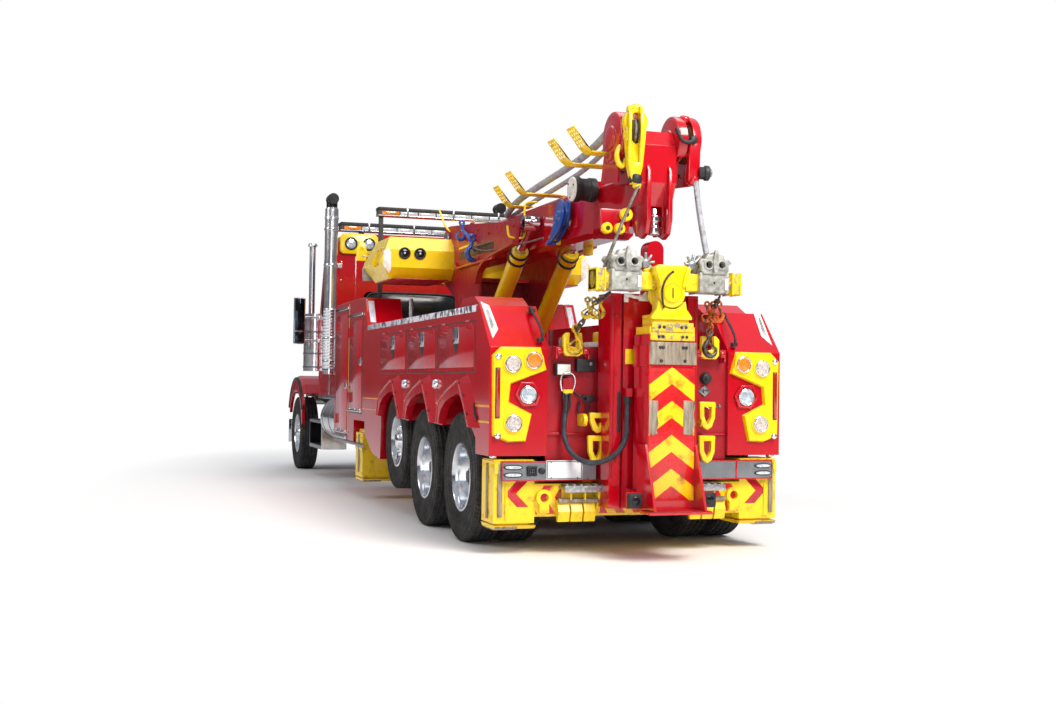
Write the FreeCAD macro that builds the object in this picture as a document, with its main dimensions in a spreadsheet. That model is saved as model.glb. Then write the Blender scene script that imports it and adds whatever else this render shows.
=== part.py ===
"""Heavy four-axle tow truck with a slewing recovery boom and a folding underlift.

Stations (x) are measured forward from the rearmost axle, y to the left, z up from the ground.
Each finished sub-part is placed by -middle along x, so that the model's origin is on the ground
below the middle of its length.  All sizes are in millimetres.
"""

import FreeCAD, Part
import Sketcher
import math
import os
import re

os.makedirs("parts", exist_ok=True)
doc = FreeCAD.newDocument("TowTruck")
sheet = doc.addObject("Spreadsheet::Sheet", "Sizes")

# Driving dimensions: alias, value, what it is.
SIZES = [
    ("middle", 4300, "station of the model's origin"),
    ("slip", 0.3, "gap between faces of different bodies that almost touch"),
    ("play", 5, "clearance round moving panels and telescoping beams"),
    ("bore_play", 0.05, "radial clearance of a pin in its bore"),
    ("barrel_r", 8, "radius of a panel's hinge barrel"),
    # wheels and axles
    ("tyre_r", 552, "outer radius of a road tyre"),
    ("tyre_wide", 280, "width of one tyre"),
    ("rim_r", 286, "radius of the tyre's seat on its rim"),
    ("dual_out_y", 1120, "centre of the outer tyre of a pair"),
    ("dual_in_y", 790, "centre of the inner tyre of a pair"),
    ("axle_gap", 1290, "distance between the two drive axles"),
    ("front_x", 9580, "station of the steering axle"),
    ("front_y", 1085, "centre of a front tyre"),
    ("king_y", 915, "kingpin offset"),
    ("lift_x", 2570, "station of the raised axle"),
    ("lift_z", 745, "height of the raised axle"),
    ("lift_r", 500, "tyre radius on the raised axle"),
    ("lift_rim_r", 262, "tyre seat radius on the raised axle"),
    ("lift_y", 1100, "centre of a tyre on the raised axle"),
    ("hub_r", 50, "spindle radius"),
    # chassis
    ("rail_in", 380, "inner face of a frame rail"),
    ("rail_wide", 80, "width of a frame rail"),
    ("frame_low", 830, "underside of the frame"),
    ("frame_top", 1100, "top of the frame"),
    ("frame_rear", -900, "rear end of the frame"),
    ("frame_front", 10080, "front end of the frame"),
    ("deck_low", 1180, "underside of the deck"),
    ("deck_top", 1220, "top of the deck"),
    # side bodies
    ("body_half", 1285, "half width over the side panels"),
    ("body_in", 860, "inner wall of a side body"),
    ("skin", 30, "thickness of the body's walls and doors"),
    ("tail_x", -970, "rear face of the tail boxes"),
    ("tail_in", 800, "inner side of a tail box"),
    ("tail_low", 780, "underside of a tail box"),
    ("tail_front", -600, "front face of a tail box"),
    ("tail_bend", 1640, "height where a tail box's top starts to slant"),
    ("crown_z", 2080, "top of the raised lid behind the bed"),
    ("column_low", 975, "lower end of the columns between the wheels"),
    ("flare", 40, "how far a wheel arch's flare stands out"),
    ("lamp_r", 70, "radius of a round rear lamp"),
    ("wall_rear", -930, "rear face of the bed's rear wall"),
    ("wall_low", 600, "lower edge of the bed's rear wall"),
    ("wall_top", 1660, "upper edge of the bed's rear wall"),
    ("lug_x", -1041, "station of the towing lugs' bores"),
    ("bumper_rear", -1030, "rear face of the rear bumper"),
    ("rail_z", 1990, "height of the body's top rail"),
    ("locker_top", 2320, "top of the tall locker"),
    ("locker_front", 5900, "front of the tall locker"),
    ("locker_low", 600, "underside of the tall locker"),
    ("lid_low", 1440, "lower edge of a lift-up door"),
    ("lid_high", 1866, "upper edge of a lift-up door"),
    ("arch_top", 1270, "top of the wheel arches"),
    # cab
    ("cab_rear", 7050, "rear wall of the cab"),
    ("cab_front", 8480, "front of the cab's cowl"),
    ("cab_half", 1070, "half width of the cab"),
    ("cab_low", 1150, "underside of the cab"),
    ("cab_top", 3400, "roof of the cab"),
    ("cab_wall", 40, "thickness of the cab's walls and doors"),
    ("cowl_z", 2330, "height of the cowl"),
    ("roof_front", 8050, "front edge of the roof"),
    ("door_rear", 7400, "rear edge of the cab door's opening"),
    ("door_front", 8330, "front edge of the cab door's opening"),
    ("hood_rear", 8500, "rear edge of the hood"),
    ("nose_x", 10180, "front of the hood's nose"),
    ("hood_half_rear", 930, "half width of the hood at the cowl"),
    ("hood_half_front", 600, "half width of the hood at the nose"),
    ("hood_low", 1150, "lower edge of the hood"),
    ("hood_top_rear", 2260, "height of the hood at the cowl"),
    ("hood_top_front", 1950, "height of the hood at the nose"),
    ("fender_half", 1240, "outer side of a fender"),
    ("fender_r", 660, "radius of a fender's arch"),
    ("fender_top", 745, "outer radius of a fender"),
    ("fender_z", 690, "centre height of a fender's outline"),
    ("stack_x", 6900, "station of the exhaust stacks"),
    ("stack_y", 1190, "offset of the exhaust stacks"),
    ("tank_y", 930, "offset of the fuel tanks"),
    ("hood_pin_x", 10200, "station of the hood's hinge"),
    ("hood_pin_z", 805, "height of the hood's hinge"),
    ("bumper_front", 10400, "front of the front bumper"),
    # turret and boom
    ("slew_x", 2900, "station of the slewing axis"),
    ("ring_r", 560, "radius of the slewing ring"),
    ("ring_top", 1330, "top of the slewing ring's fixed half"),
    ("cover_rear", 3400, "rear face of the winch cover"),
    ("cover_front", 4350, "front face of the winch cover"),
    ("cover_low", 2510, "underside of the winch cover"),
    ("cover_top", 2980, "top of the winch cover"),
    ("cheek_in", 370, "inner side of the turret's cheeks"),
    ("cheek_thick", 30, "thickness of the turret's cheeks"),
    ("boom_pin_x", 3680, "station of the boom's pivot"),
    ("boom_pin_z", 2990, "height of the boom's pivot"),
    ("boom_half", 170, "half width of the boom"),
    ("boom_low", 2630, "underside of the boom"),
    ("boom_top", 3090, "top of the boom"),
    ("boom_rear", -350, "rear end of the boom's outer section"),
    ("boom_wall", 20, "plate thickness of the boom"),
    ("ram_y", 265, "offset of a lift cylinder"),
    ("ram_r", 85, "radius of a lift cylinder's barrel"),
    ("rod_r", 50, "radius of its rod"),
    ("ram_foot_x", 2950, "station of the lift cylinders' foot pin"),
    ("ram_foot_z", 1500, "height of the foot pin"),
    ("ram_eye_x", 1120, "station of the rods' eyes"),
    ("ram_eye_z", 2900, "height of the rods' eyes"),
    ("head_x", -1150, "station of the boom head's sheaves"),
    ("head_z", 3330, "height of the sheaves"),
    ("head_y", 250, "offset of the sheaves"),
    ("sheave_r", 175, "radius of a sheave housing"),
    # underlift
    ("arm_back", -1590, "rear face of the folded arm"),
    ("arm_front", -1310, "front face of the folded arm"),
    ("arm_half", 200, "half width of the folded arm"),
    ("arm_low", 400, "lower end of the folded arm"),
    ("arm_top", 1750, "upper end of the folded arm"),
    ("fold_x", -1350, "station of the fold pin"),
    ("fold_z", 470, "height of the fold pin"),
    ("shoe_rear", -1790, "rear end of the folded arm's foot"),
    ("mast_rear", -1250, "rear face of the underlift's mast"),
    ("mast_front", -990, "front face of the underlift's mast"),
    ("mast_top", 2080, "top of the mast's columns"),
    ("swivel_z", 2070, "height of the crossbar's swivel pin"),
    ("bar_x", -1450, "station of the crossbar"),
    ("bar_z", 2165, "height of the crossbar"),
    ("bar_half", 620, "half length of the crossbar"),
    # outriggers
    ("rear_leg_x", -825, "station of the rear outriggers"),
    ("front_leg_x", 4280, "station of the front outriggers"),
    ("leg_in", 905, "inner side of an outrigger leg"),
    ("rear_leg_out", 1245, "outer side of a rear leg"),
    ("front_leg_out", 1275, "outer side of a front leg"),
]

value = {}
for row, (alias, number, note) in enumerate(SIZES, 1):
    sheet.set(f"A{row}", alias)
    sheet.set(f"B{row}", str(number))
    sheet.setAlias(f"B{row}", alias)
    sheet.set(f"C{row}", note)
    value[alias] = number
doc.recompute()

WORD = re.compile(r"[a-z]\w*")


def bound(text):
    """An expression on the sheet's aliases, written with their bare names."""
    return WORD.sub(lambda found: "Sizes." + found.group(0), str(text))


def bind(thing, **properties):
    """Bind properties of an object; two underscores stand for a dot."""
    for name, text in properties.items():
        thing.setExpression(name.replace("__", "."), bound(text))


def place(thing, x=0, y=0, z=0):
    bind(thing, Placement__Base__x=x, Placement__Base__y=y, Placement__Base__z=z)


def box(x0, x1, y0, y1, z0, z1):
    """A box between two stations, two offsets and two heights."""
    solid = doc.addObject("Part::Box", "Box")
    bind(solid, Length=f"({x1}) - ({x0})", Width=f"({y1}) - ({y0})", Height=f"({z1}) - ({z0})")
    place(solid, x0, y0, z0)
    return solid


TURN = {
    "x": FreeCAD.Rotation(FreeCAD.Vector(0, 1, 0), 90),
    "y": FreeCAD.Rotation(FreeCAD.Vector(1, 0, 0), -90),
    "z": FreeCAD.Rotation(),
}


def rod(axis, radius, start, end, a, b):
    """A cylinder along x, y or z; a and b are its other two coordinates, in x, y, z order."""
    solid = doc.addObject("Part::Cylinder", "Rod")
    solid.Placement = FreeCAD.Placement(FreeCAD.Vector(), TURN[axis])
    bind(solid, Radius=radius, Height=f"({end}) - ({start})")
    spot = {"x": (start, a, b), "y": (a, start, b), "z": (a, b, start)}[axis]
    place(solid, *spot)
    return solid


PLANE = {
    "xy": FreeCAD.Rotation(),
    "xz": FreeCAD.Rotation(FreeCAD.Vector(1, 0, 0), 90),
    "yz": FreeCAD.Rotation(FreeCAD.Vector(1, 1, 1), 120),
}
NORMAL = {"xy": (0, 0, 1), "xz": (0, 1, 0), "yz": (1, 0, 0)}


def outline(plane, level, points):
    """A closed sketch of straight lines on a plane at a level, its corners bound to the sheet."""
    sketch = doc.addObject("Sketcher::SketchObject", "Outline")
    sketch.Placement = FreeCAD.Placement(FreeCAD.Vector(), PLANE[plane])
    bind(sketch, **{"Placement__Base__" + {"xy": "z", "xz": "y", "yz": "x"}[plane]: level})
    count = len(points)
    ring = [2 * math.pi * i / count for i in range(count)]
    start = [FreeCAD.Vector(1000 * math.cos(a), 1000 * math.sin(a), 0) for a in ring]
    for i in range(count):
        sketch.addGeometry(Part.LineSegment(start[i], start[(i + 1) % count]), False)
    for i in range(count):
        sketch.addConstraint(Sketcher.Constraint("Coincident", i, 2, (i + 1) % count, 1))
    for i, (across, up) in enumerate(points):
        for kind, text, now in (("DistanceX", across, start[i].x), ("DistanceY", up, start[i].y)):
            index = sketch.addConstraint(Sketcher.Constraint(kind, -1, 1, i, 1, now))
            sketch.setExpression(f"Constraints[{index}]", bound(text))
    return sketch


def prism(plane, low, high, points):
    """The outline's prism between two levels across its plane."""
    solid = doc.addObject("Part::Extrusion", "Prism")
    solid.Base = outline(plane, low, points)
    solid.DirMode = "Custom"
    solid.Dir = FreeCAD.Vector(*NORMAL[plane])
    solid.Solid = True
    bind(solid, LengthFwd=f"({high}) - ({low})")
    return solid


def loft(plane, sections):
    """A ruled loft through outlines, each given as a level and its points."""
    solid = doc.addObject("Part::Loft", "Loft")
    solid.Sections = [outline(plane, level, points) for level, points in sections]
    solid.Solid = True
    solid.Ruled = True
    return solid


def turned(x, z, points):
    """A ring about the y axis through (x, z); each point is a radius and an offset y."""
    solid = doc.addObject("Part::Revolution", "Ring")
    solid.Source = outline("xy", 0, points)
    solid.Axis = FreeCAD.Vector(0, 1, 0)
    solid.Angle = 360
    solid.Solid = True
    place(solid, x, 0, z)
    return solid


def fuse(*shapes):
    joined = doc.addObject("Part::MultiFuse", "Fuse")
    joined.Shapes = list(shapes)
    return joined


def cut(base, *tools):
    rest = doc.addObject("Part::Cut", "Cut")
    rest.Base = base
    rest.Tool = tools[0] if len(tools) == 1 else fuse(*tools)
    return rest


def common(one, other):
    overlap = doc.addObject("Part::Common", "Common")
    overlap.Base = one
    overlap.Tool = other
    return overlap


def both(shape):
    """The shape and its mirror image on the other side of the truck."""
    return shape, mirrored(shape)


def mirrored(shape):
    image = doc.addObject("Part::Mirroring", "Mirror")
    image.Source = shape
    image.Base = FreeCAD.Vector(0, 0, 0)
    image.Normal = FreeCAD.Vector(0, 1, 0)
    return image


def barrels(axis, hinge, face, spans, side):
    """Fixed barrels of a panel's hinge, half sunk beside the opening; spans are their ends."""
    solids = []
    for start, end in spans:
        if axis == "z":
            solids.append(rod("z", "barrel_r", start, end, f"{hinge} + 6", f"{face} + 6"))
        else:
            solids.append(rod("x", "barrel_r", start, end, f"{face} + 6", f"{hinge} + 6"))
    return solids if side == "left" else [mirrored(s) for s in solids]


def straps(axis, hinge, face, spans):
    """The panel's own hinge straps, which end at the barrels."""
    if axis == "z":
        return [box(f"{hinge} - 70", f"{hinge} + 6 - barrel_r - slip", face, f"{face} + 10",
                    start, end) for start, end in spans]
    return [box(start, end, face, f"{face} + 10", f"{hinge} - 70",
                f"{hinge} + 6 - barrel_r - slip") for start, end in spans]


nodes = []


def node(label, *shapes):
    """A finished sub-part: separate solids are kept side by side in one compound."""
    whole = doc.addObject("Part::Compound", "Node")
    whole.Links = list(shapes)
    whole.Label = label
    place(whole, "-middle")
    nodes.append(whole)
    return whole


# ---------------------------------------------------------------- chassis
def chassis():
    rails = both(box("frame_rear", "frame_front", "rail_in", "rail_in + rail_wide",
                     "frame_low", "frame_top"))
    members = [box(f"({x}) - 40", f"({x}) + 40", "-rail_in", "rail_in", "frame_low + 40",
                   "frame_top - 40")
               for x in ("frame_rear + 40", "axle_gap / 2", "lift_x + 700", "cab_rear - 800",
                         "frame_front - 40")]
    horns = both(cut(box("frame_front", "bumper_front - 150", "rail_in", "rail_in + rail_wide",
                         "frame_low - 280", "frame_low"),
                     rod("y", "15 + bore_play", "rail_in - 10", "rail_in + rail_wide + 10",
                         "hood_pin_x", "hood_pin_z")))
    horn_roots = both(box("frame_front - 200", "frame_front", "rail_in", "rail_in + rail_wide",
                          "frame_low - 280", "frame_low"))
    seats = [box(x0, x1, "-rail_in - rail_wide", "rail_in + rail_wide", "frame_top", "cab_low")
             for x0, x1 in (("cab_rear + 100", "cab_rear + 200"),
                            ("cab_front - 200", "cab_front - 100"))]
    node("chassis_frame", fuse(*rails, *members, *horns, *horn_roots, *seats))
    sub = both(box("frame_rear", "locker_front", "rail_in", "rail_in + rail_wide", "frame_top",
                   "deck_low"))
    plate = fuse(box("tail_front", "locker_front", "-body_in", "body_in", "deck_low", "deck_top"),
                 box("frame_rear", "tail_front", "-tail_in", "tail_in", "deck_low", "deck_top"))
    ring = rod("z", "ring_r", "deck_top", "ring_top", "slew_x", 0)
    wall = box("wall_rear", "frame_rear", "-tail_in", "tail_in", "wall_low", "wall_top")
    socket = box("wall_rear - 80", "wall_rear", "600", "684", "1290", "1400")
    node("deck", fuse(*sub, plate, ring, wall, socket))
    core = box("frame_front - 180", "frame_front - 80", "-420", "420", "frame_top",
               "hood_top_front - 130")
    block = box("cab_front + 40", "front_x + 270", "-330", "330", "frame_low - 130",
                "hood_top_rear - 510")
    feet = both(box("front_x - 600", "front_x - 500", "330", "rail_in", "frame_low + 100",
                    "frame_top - 80"))
    node("engine", core, fuse(block, *feet))


def axles():
    pieces = []
    for x in ("0", "axle_gap"):
        pieces += [rod("y", 75, "-dual_in_y + 170", "dual_in_y - 170", x, "tyre_r"),
                   rod("y", "hub_r", "-dual_out_y - 60", "dual_out_y + 60", x, "tyre_r"),
                   rod("x", 190, f"({x}) - 120", f"({x}) + 120", 0, "tyre_r")]
        pieces += both(box(f"({x}) - 60", f"({x}) + 60", "rail_in", "rail_in + rail_wide",
                           "tyre_r", "frame_low"))
    drive = [fuse(*pieces[:5]), fuse(*pieces[5:])]
    lift = fuse(rod("y", 65, "-lift_y + 170", "lift_y - 170", "lift_x", "lift_z"),
                rod("y", "hub_r", "-lift_y - 60", "lift_y + 60", "lift_x", "lift_z"),
                *both(box("lift_x - 60", "lift_x + 60", "rail_in", "rail_in + rail_wide",
                          "lift_z", "frame_low")))
    steer = fuse(box("front_x - 50", "front_x + 50", "-king_y + 60", "king_y - 60", "430", "520"),
                 *both(box("front_x - 50", "front_x + 50", "rail_in", "rail_in + rail_wide",
                           "500", "frame_low")),
                 *both(box("front_x - 50", "front_x + 50", "king_y - 100", "king_y - 5", "375",
                           "400 - slip")),
                 *both(box("front_x - 50", "front_x + 50", "king_y - 100", "king_y - 60", "375",
                           "440")))
    node("axles", *drive, lift, steer)


def knuckle(side):
    shape = fuse(rod("z", 55, "400", "640", "front_x", "king_y"),
                 rod("y", "hub_r", "king_y", "front_y + 60", "front_x", "tyre_r"))
    node(f"knuckle_{side}", shape if side == "left" else mirrored(shape))


def wheel(label, x, z, radius, seat, centres, side):
    """One or two tyres and rims on a hub; they turn on the spindle."""
    solids = []
    for y in centres:
        tyre = turned(x, z, [(seat, f"{y} - tyre_wide / 2 + 35"),
                             (f"{seat} + 60", f"{y} - tyre_wide / 2"),
                             (f"{radius} - 60", f"{y} - tyre_wide / 2"),
                             (radius, f"{y} - tyre_wide / 2 + 35"),
                             (radius, f"{y} + tyre_wide / 2 - 35"),
                             (f"{radius} - 60", f"{y} + tyre_wide / 2"),
                             (f"{seat} + 60", f"{y} + tyre_wide / 2"),
                             (seat, f"{y} + tyre_wide / 2 - 35")])
        solids.append(tyre)
    inner, outer = centres[0], centres[-1]
    rim = turned(x, z, [(f"{seat} - 25", f"{inner} - 100"), (f"{seat} - slip", f"{inner} - 100"),
                        (f"{seat} - slip", f"{outer} + 100"), (f"{seat} - 25", f"{outer} + 100")])
    disc = turned(x, z, [("hub_r + bore_play", f"{outer} - 40"), (f"{seat} - 20", f"{outer} - 40"),
                         (f"{seat} - 20", f"{outer} - 20"), ("140", f"{outer} - 20"),
                         ("110", f"{outer} + 70"), ("hub_r + bore_play", f"{outer} + 70")])
    solids.append(fuse(rim, disc))
    shapes = solids if side == "left" else [mirrored(s) for s in solids]
    node(label, *shapes)


def wheels():
    for side in ("left", "right"):
        knuckle(side)
        wheel(f"wheel_front_{side}", "front_x", "tyre_r", "tyre_r", "rim_r", ["front_y"], side)
        wheel(f"wheel_lift_{side}", "lift_x", "lift_z", "lift_r", "lift_rim_r", ["lift_y"], side)
        for name, x in (("middle", "axle_gap"), ("rear", "0")):
            wheel(f"wheel_{name}_{side}", x, "tyre_r", "tyre_r", "rim_r",
                  ["dual_in_y", "dual_out_y"], side)


# ---------------------------------------------------------------- side bodies
# Lift-up doors: number, rear station, front station.
LIDS = [(1, "1910", "3150"), (2, "700", "1850"), (3, "-560", "640")]
# Tall doors: number, rear station, front station, lower edge, upper edge.
TALLS = [(1, "5000", "5850", "700", "2230"), (2, "4110", "4940", "980", "2120")]


AXLES = ["lift_x", "axle_gap", "0"]
# Lower edge of the skin over a wheel, front to rear: distance ahead of the axle, height.
OPENING = [(440, 1050), (380, 1120), (230, 1190), (26, 1235), (-180, 1265), (-300, 1215),
           (-470, 985)]
# A flare's outline: ahead of the axle and height on the body, then the same on its outer face.
FLARE = [(545, 990, 535, 995), (500, 1150, 490, 1142), (380, 1240, 370, 1228),
         (150, 1315, 145, 1300), (-90, 1370, -70, 1350), (-350, 1425, -150, 1372),
         (-442, 1355, -190, 1345), (-720, 990, -526, 990), (-472, 985, -472, 990),
         (-300, 1215, -300, 1215), (-180, 1265, -180, 1265), (26, 1235, 26, 1235),
         (230, 1190, 230, 1190), (380, 1120, 380, 1120), (440, 1050, 440, 1050),
         (474, 985, 474, 990)]
# A rear lamp panel's corners (y, z), how far each comes in on the outer face, and its lamps.
PANEL = [("1262", "940"), ("1271", "1575"), ("1198", "1644"), ("863", "1646"), ("810", "1464"),
         ("1109", "1349"), ("1124", "1207"), ("931", "1113"), ("981", "894"), ("1128", "888")]
PANEL_BEVEL = [(-12, 8), (-12, -8), (-8, -12), (8, -12), (14, 2), (14, 8), (14, -8), (14, -4),
               (10, 10), (0, 10)]
LAMPS = [("1103", "1508"), ("928", "1539"), ("1091", "1039")]


def side_body(pins):
    """The left side body: compartments, arches, door openings, skin and hinge barrels."""
    top = [("tail_x", "tail_low"), ("tail_x", "tail_bend"), ("-650", "rail_z"),
           ("3870", "rail_z"), ("4070", "locker_top"), ("locker_front", "locker_top"),
           ("locker_front", "locker_low"), ("4600", "locker_low"), ("4600", "900"),
           ("3950", "900"), ("3950", "760"), ("3500", "560"), ("lift_x + 510", "520")]
    rear = [("tail_front + 10", "910"), ("tail_front", "tail_low")]
    core = top + [("lift_x + 510", "1140"), ("lift_x + 300", "arch_top"),
                  ("lift_x - 300", "arch_top"), ("lift_x - 490", "1150"),
                  ("(lift_x + axle_gap) / 2", "column_low"), ("axle_gap + 490", "1150"),
                  ("axle_gap + 300", "arch_top"), ("axle_gap - 300", "arch_top"),
                  ("axle_gap - 490", "1150"), ("axle_gap / 2", "column_low"), ("490", "1150"),
                  ("300", "arch_top"), ("-300", "arch_top"), ("-490", "1150")] + rear
    skin = list(top)
    for axle in AXLES:
        skin += [(f"{axle} + 480", "column_low")]
        skin += [(f"{axle} + ({ahead})", f"{height}") for ahead, height in OPENING]
    skin += rear
    tail = prism("xz", "tail_in", "body_in", [("tail_x", "tail_low"), ("tail_x", "tail_bend"),
                                              ("-650", "rail_z"), ("tail_front", "rail_z"),
                                              ("tail_front", "tail_low")])
    crown = prism("xz", "tail_in", "body_half - 60",
                  [("-520", "rail_z - 15"), ("-300", "crown_z"), ("60", "crown_z"),
                   ("200", "rail_z - 15")])
    rooms = []
    for number, back, front in LIDS:
        rooms.append(box(back, front, "body_in + skin", "body_half - skin", "lid_low - 15",
                         "rail_z - skin"))
        rooms.append(box(back, front, "body_half - skin - 10", "body_half", "lid_low",
                         "lid_high"))
    for number, back, front, low, high in TALLS:
        rooms.append(box(back, front, "body_in + skin", "body_half - skin", f"{low} - 20",
                         f"{high} + 20"))
        rooms.append(box(back, front, "body_half - skin - 10", "body_half", low, high))
    whole = fuse(prism("xz", "body_in", "body_half - skin - 5", core),
                 prism("xz", "body_half - skin - 5", "body_half", skin), tail, crown, *pins)
    return cut(whole, *rooms)


def arch_flares():
    """The bolted flares over the left wheels, bevelled towards the rear."""
    flares = []
    for axle in AXLES:
        foot = [(f"{axle} + ({base})", f"{base_z}") for base, base_z, face, face_z in FLARE]
        crest = [(f"{axle} + ({face})", f"{face_z}") for base, base_z, face, face_z in FLARE]
        flares.append(loft("xz", [("body_half + slip", foot), ("body_half + flare", crest)]))
    return flares


def lid_spans(rear, front):
    return [(f"{rear} + 150", f"{rear} + 270"), (f"{front} - 270", f"{front} - 150")]


def leaf_spans(low, high):
    return [(f"{low} + 120", f"{low} + 240"), (f"{high} - 240", f"{high} - 120")]


def bodies():
    pins = []
    for number, rear, front in LIDS:
        pins += barrels("x", "lid_high", "body_half", lid_spans(rear, front), "left")
    for number, rear, front, low, high in TALLS:
        pins += barrels("z", front, "body_half", leaf_spans(low, high), "left")
    flares = arch_flares()
    node("side_bodies", *both(side_body(pins)), *flares, *[mirrored(f) for f in flares])
    for side in ("left", "right"):
        for number, rear, front in LIDS:
            lid = fuse(box(f"{rear} + play", f"{front} - play", "body_half - skin + 2",
                           "body_half", "lid_low + play", "lid_high - play"),
                       *straps("x", "lid_high", "body_half", lid_spans(rear, front)))
            node(f"lift_door_{side}_{number}", lid if side == "left" else mirrored(lid))
        for number, rear, front, low, high in TALLS:
            leaf = fuse(box(f"{rear} + play", f"{front} - play", "body_half - skin + 2",
                            "body_half", f"{low} + play", f"{high} - play"),
                        *straps("z", front, "body_half", leaf_spans(low, high)))
            node(f"tall_door_{side}_{number}", leaf if side == "left" else mirrored(leaf))


def tail():
    """Lamp panels, bumper halves and towing lugs on the rear faces."""
    panel = loft("yz", [("tail_x", PANEL), ("tail_x - 28", [(f"{y} + ({dy})", f"{z} + ({dz})")
                                                          for (y, z), (dy, dz) in
                                                          zip(PANEL, PANEL_BEVEL)])])
    bosses = [rod("x", "lamp_r + 14", "tail_x - 34", "tail_x", y, z) for y, z in LAMPS]
    node("lamp_panels", *both(fuse(panel, *bosses)))
    bar = fuse(box("bumper_rear", "bumper_rear + 40", "400", "1190", "584", "741"),
               box("bumper_rear + 40", "wall_rear", "600", "660", "620", "700"))
    node("rear_bumper", *both(bar))
    lug = cut(fuse(box("lug_x", "wall_rear", "500", "530", "1020", "1120"),
                   rod("y", 50, "500", "530", "lug_x", "1070")),
              rod("y", "25 + bore_play", "490", "540", "lug_x", "1070"))
    node("tow_lugs", *both(lug))


# ---------------------------------------------------------------- cab
def cab():
    def section(inset):
        """The cab's section across the truck, with rounded shoulders."""
        side = f"(cab_half - {inset})"
        roof = f"(cab_top - {inset})"
        return [(f"-{side}", f"cab_low + {inset}"), (side, f"cab_low + {inset}"),
                (side, f"{roof} - 150"), (f"{side} - 44", f"{roof} - 44"),
                (f"{side} - 150", roof), (f"-{side} + 150", roof),
                (f"-{side} + 44", f"{roof} - 44"), (f"-{side}", f"{roof} - 150")]

    profile = prism("xz", "-cab_half", "cab_half",
                    [("cab_rear", "cab_low"), ("cab_front", "cab_low"), ("cab_front", "cowl_z"),
                     ("roof_front + 60", "cab_top - 150"), ("roof_front - 40", "cab_top - 40"),
                     ("roof_front - 160", "cab_top"), ("cab_rear", "cab_top")])
    inner = prism("xz", "-cab_half + cab_wall", "cab_half - cab_wall",
                  [("cab_rear + cab_wall", "cab_low + cab_wall"),
                   ("cab_front - cab_wall", "cab_low + cab_wall"),
                   ("cab_front - cab_wall", "cowl_z - 10"),
                   ("roof_front + 15", "cab_top - 165"),
                   ("roof_front - 170", "cab_top - cab_wall"),
                   ("cab_rear + cab_wall", "cab_top - cab_wall")])
    shell = common(profile, prism("yz", "cab_rear", "cab_front", section("0")))
    room = common(inner, prism("yz", "cab_rear", "cab_front", section("cab_wall")))
    doorway = prism("xz", "-cab_half - 10", "cab_half + 10",
                    [("door_rear", "cab_low + 50"), ("door_front", "cab_low + 50"),
                     ("door_front", "2425"), ("8005", "cab_top - 175"),
                     ("door_rear", "cab_top - 175")])
    panes = [prism("yz", "roof_front - 20", "cab_front + 20",
                   [(y0, "cowl_z + 60"), (y1, "cowl_z + 60"), (y1, "cab_top - 210"),
                    (y0, "cab_top - 210")])
             for y0, y1 in (("-930", "-30"), ("30", "930"))]
    corners = [rod("x", 80, "cab_rear - 10", "cab_rear + 60", y, z)
               for y in ("-620", "620") for z in ("2230", "2520")]
    rear = fuse(box("cab_rear - 10", "cab_rear + 60", "-620", "620", "2150", "2600"),
                box("cab_rear - 10", "cab_rear + 60", "-700", "700", "2230", "2520"), *corners)
    spans = [("1400", "1500"), ("2150", "2250")]
    pins = barrels("z", "door_front", "cab_half", spans, "left")
    node("cab_shell", fuse(cut(shell, room, doorway, *panes, rear), *pins,
                           *[mirrored(pin) for pin in pins]))
    leaf = prism("xz", "cab_half - cab_wall", "cab_half",
                 [("door_rear + play", "cab_low + 55"), ("door_front - play", "cab_low + 55"),
                  ("door_front - play", "2420"), ("8000", "cab_top - 180"),
                  ("door_rear + play", "cab_top - 180")])
    light = prism("xz", "cab_half - cab_wall - 10", "cab_half + 10",
                  [("door_rear + 80", "2300"), ("door_front - 90", "2300"),
                   ("door_front - 90", "2430"), ("7960", "cab_top - 250"),
                   ("door_rear + 80", "cab_top - 250")])
    door = fuse(cut(leaf, light), *straps("z", "door_front", "cab_half", spans))
    node("cab_door_left", door)
    node("cab_door_right", mirrored(door))
    seat = fuse(box("7250", "7750", "250", "750", "1590", "1720"),
                box("7150", "7280", "250", "750", "1700", "2350"),
                box("7300", "7700", "350", "650", "cab_low + cab_wall", "1600"))
    dash = box("8180", "cab_front - cab_wall", "-1020", "1020", "1850", "2180")
    node("cab_interior", *both(seat), dash)


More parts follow.
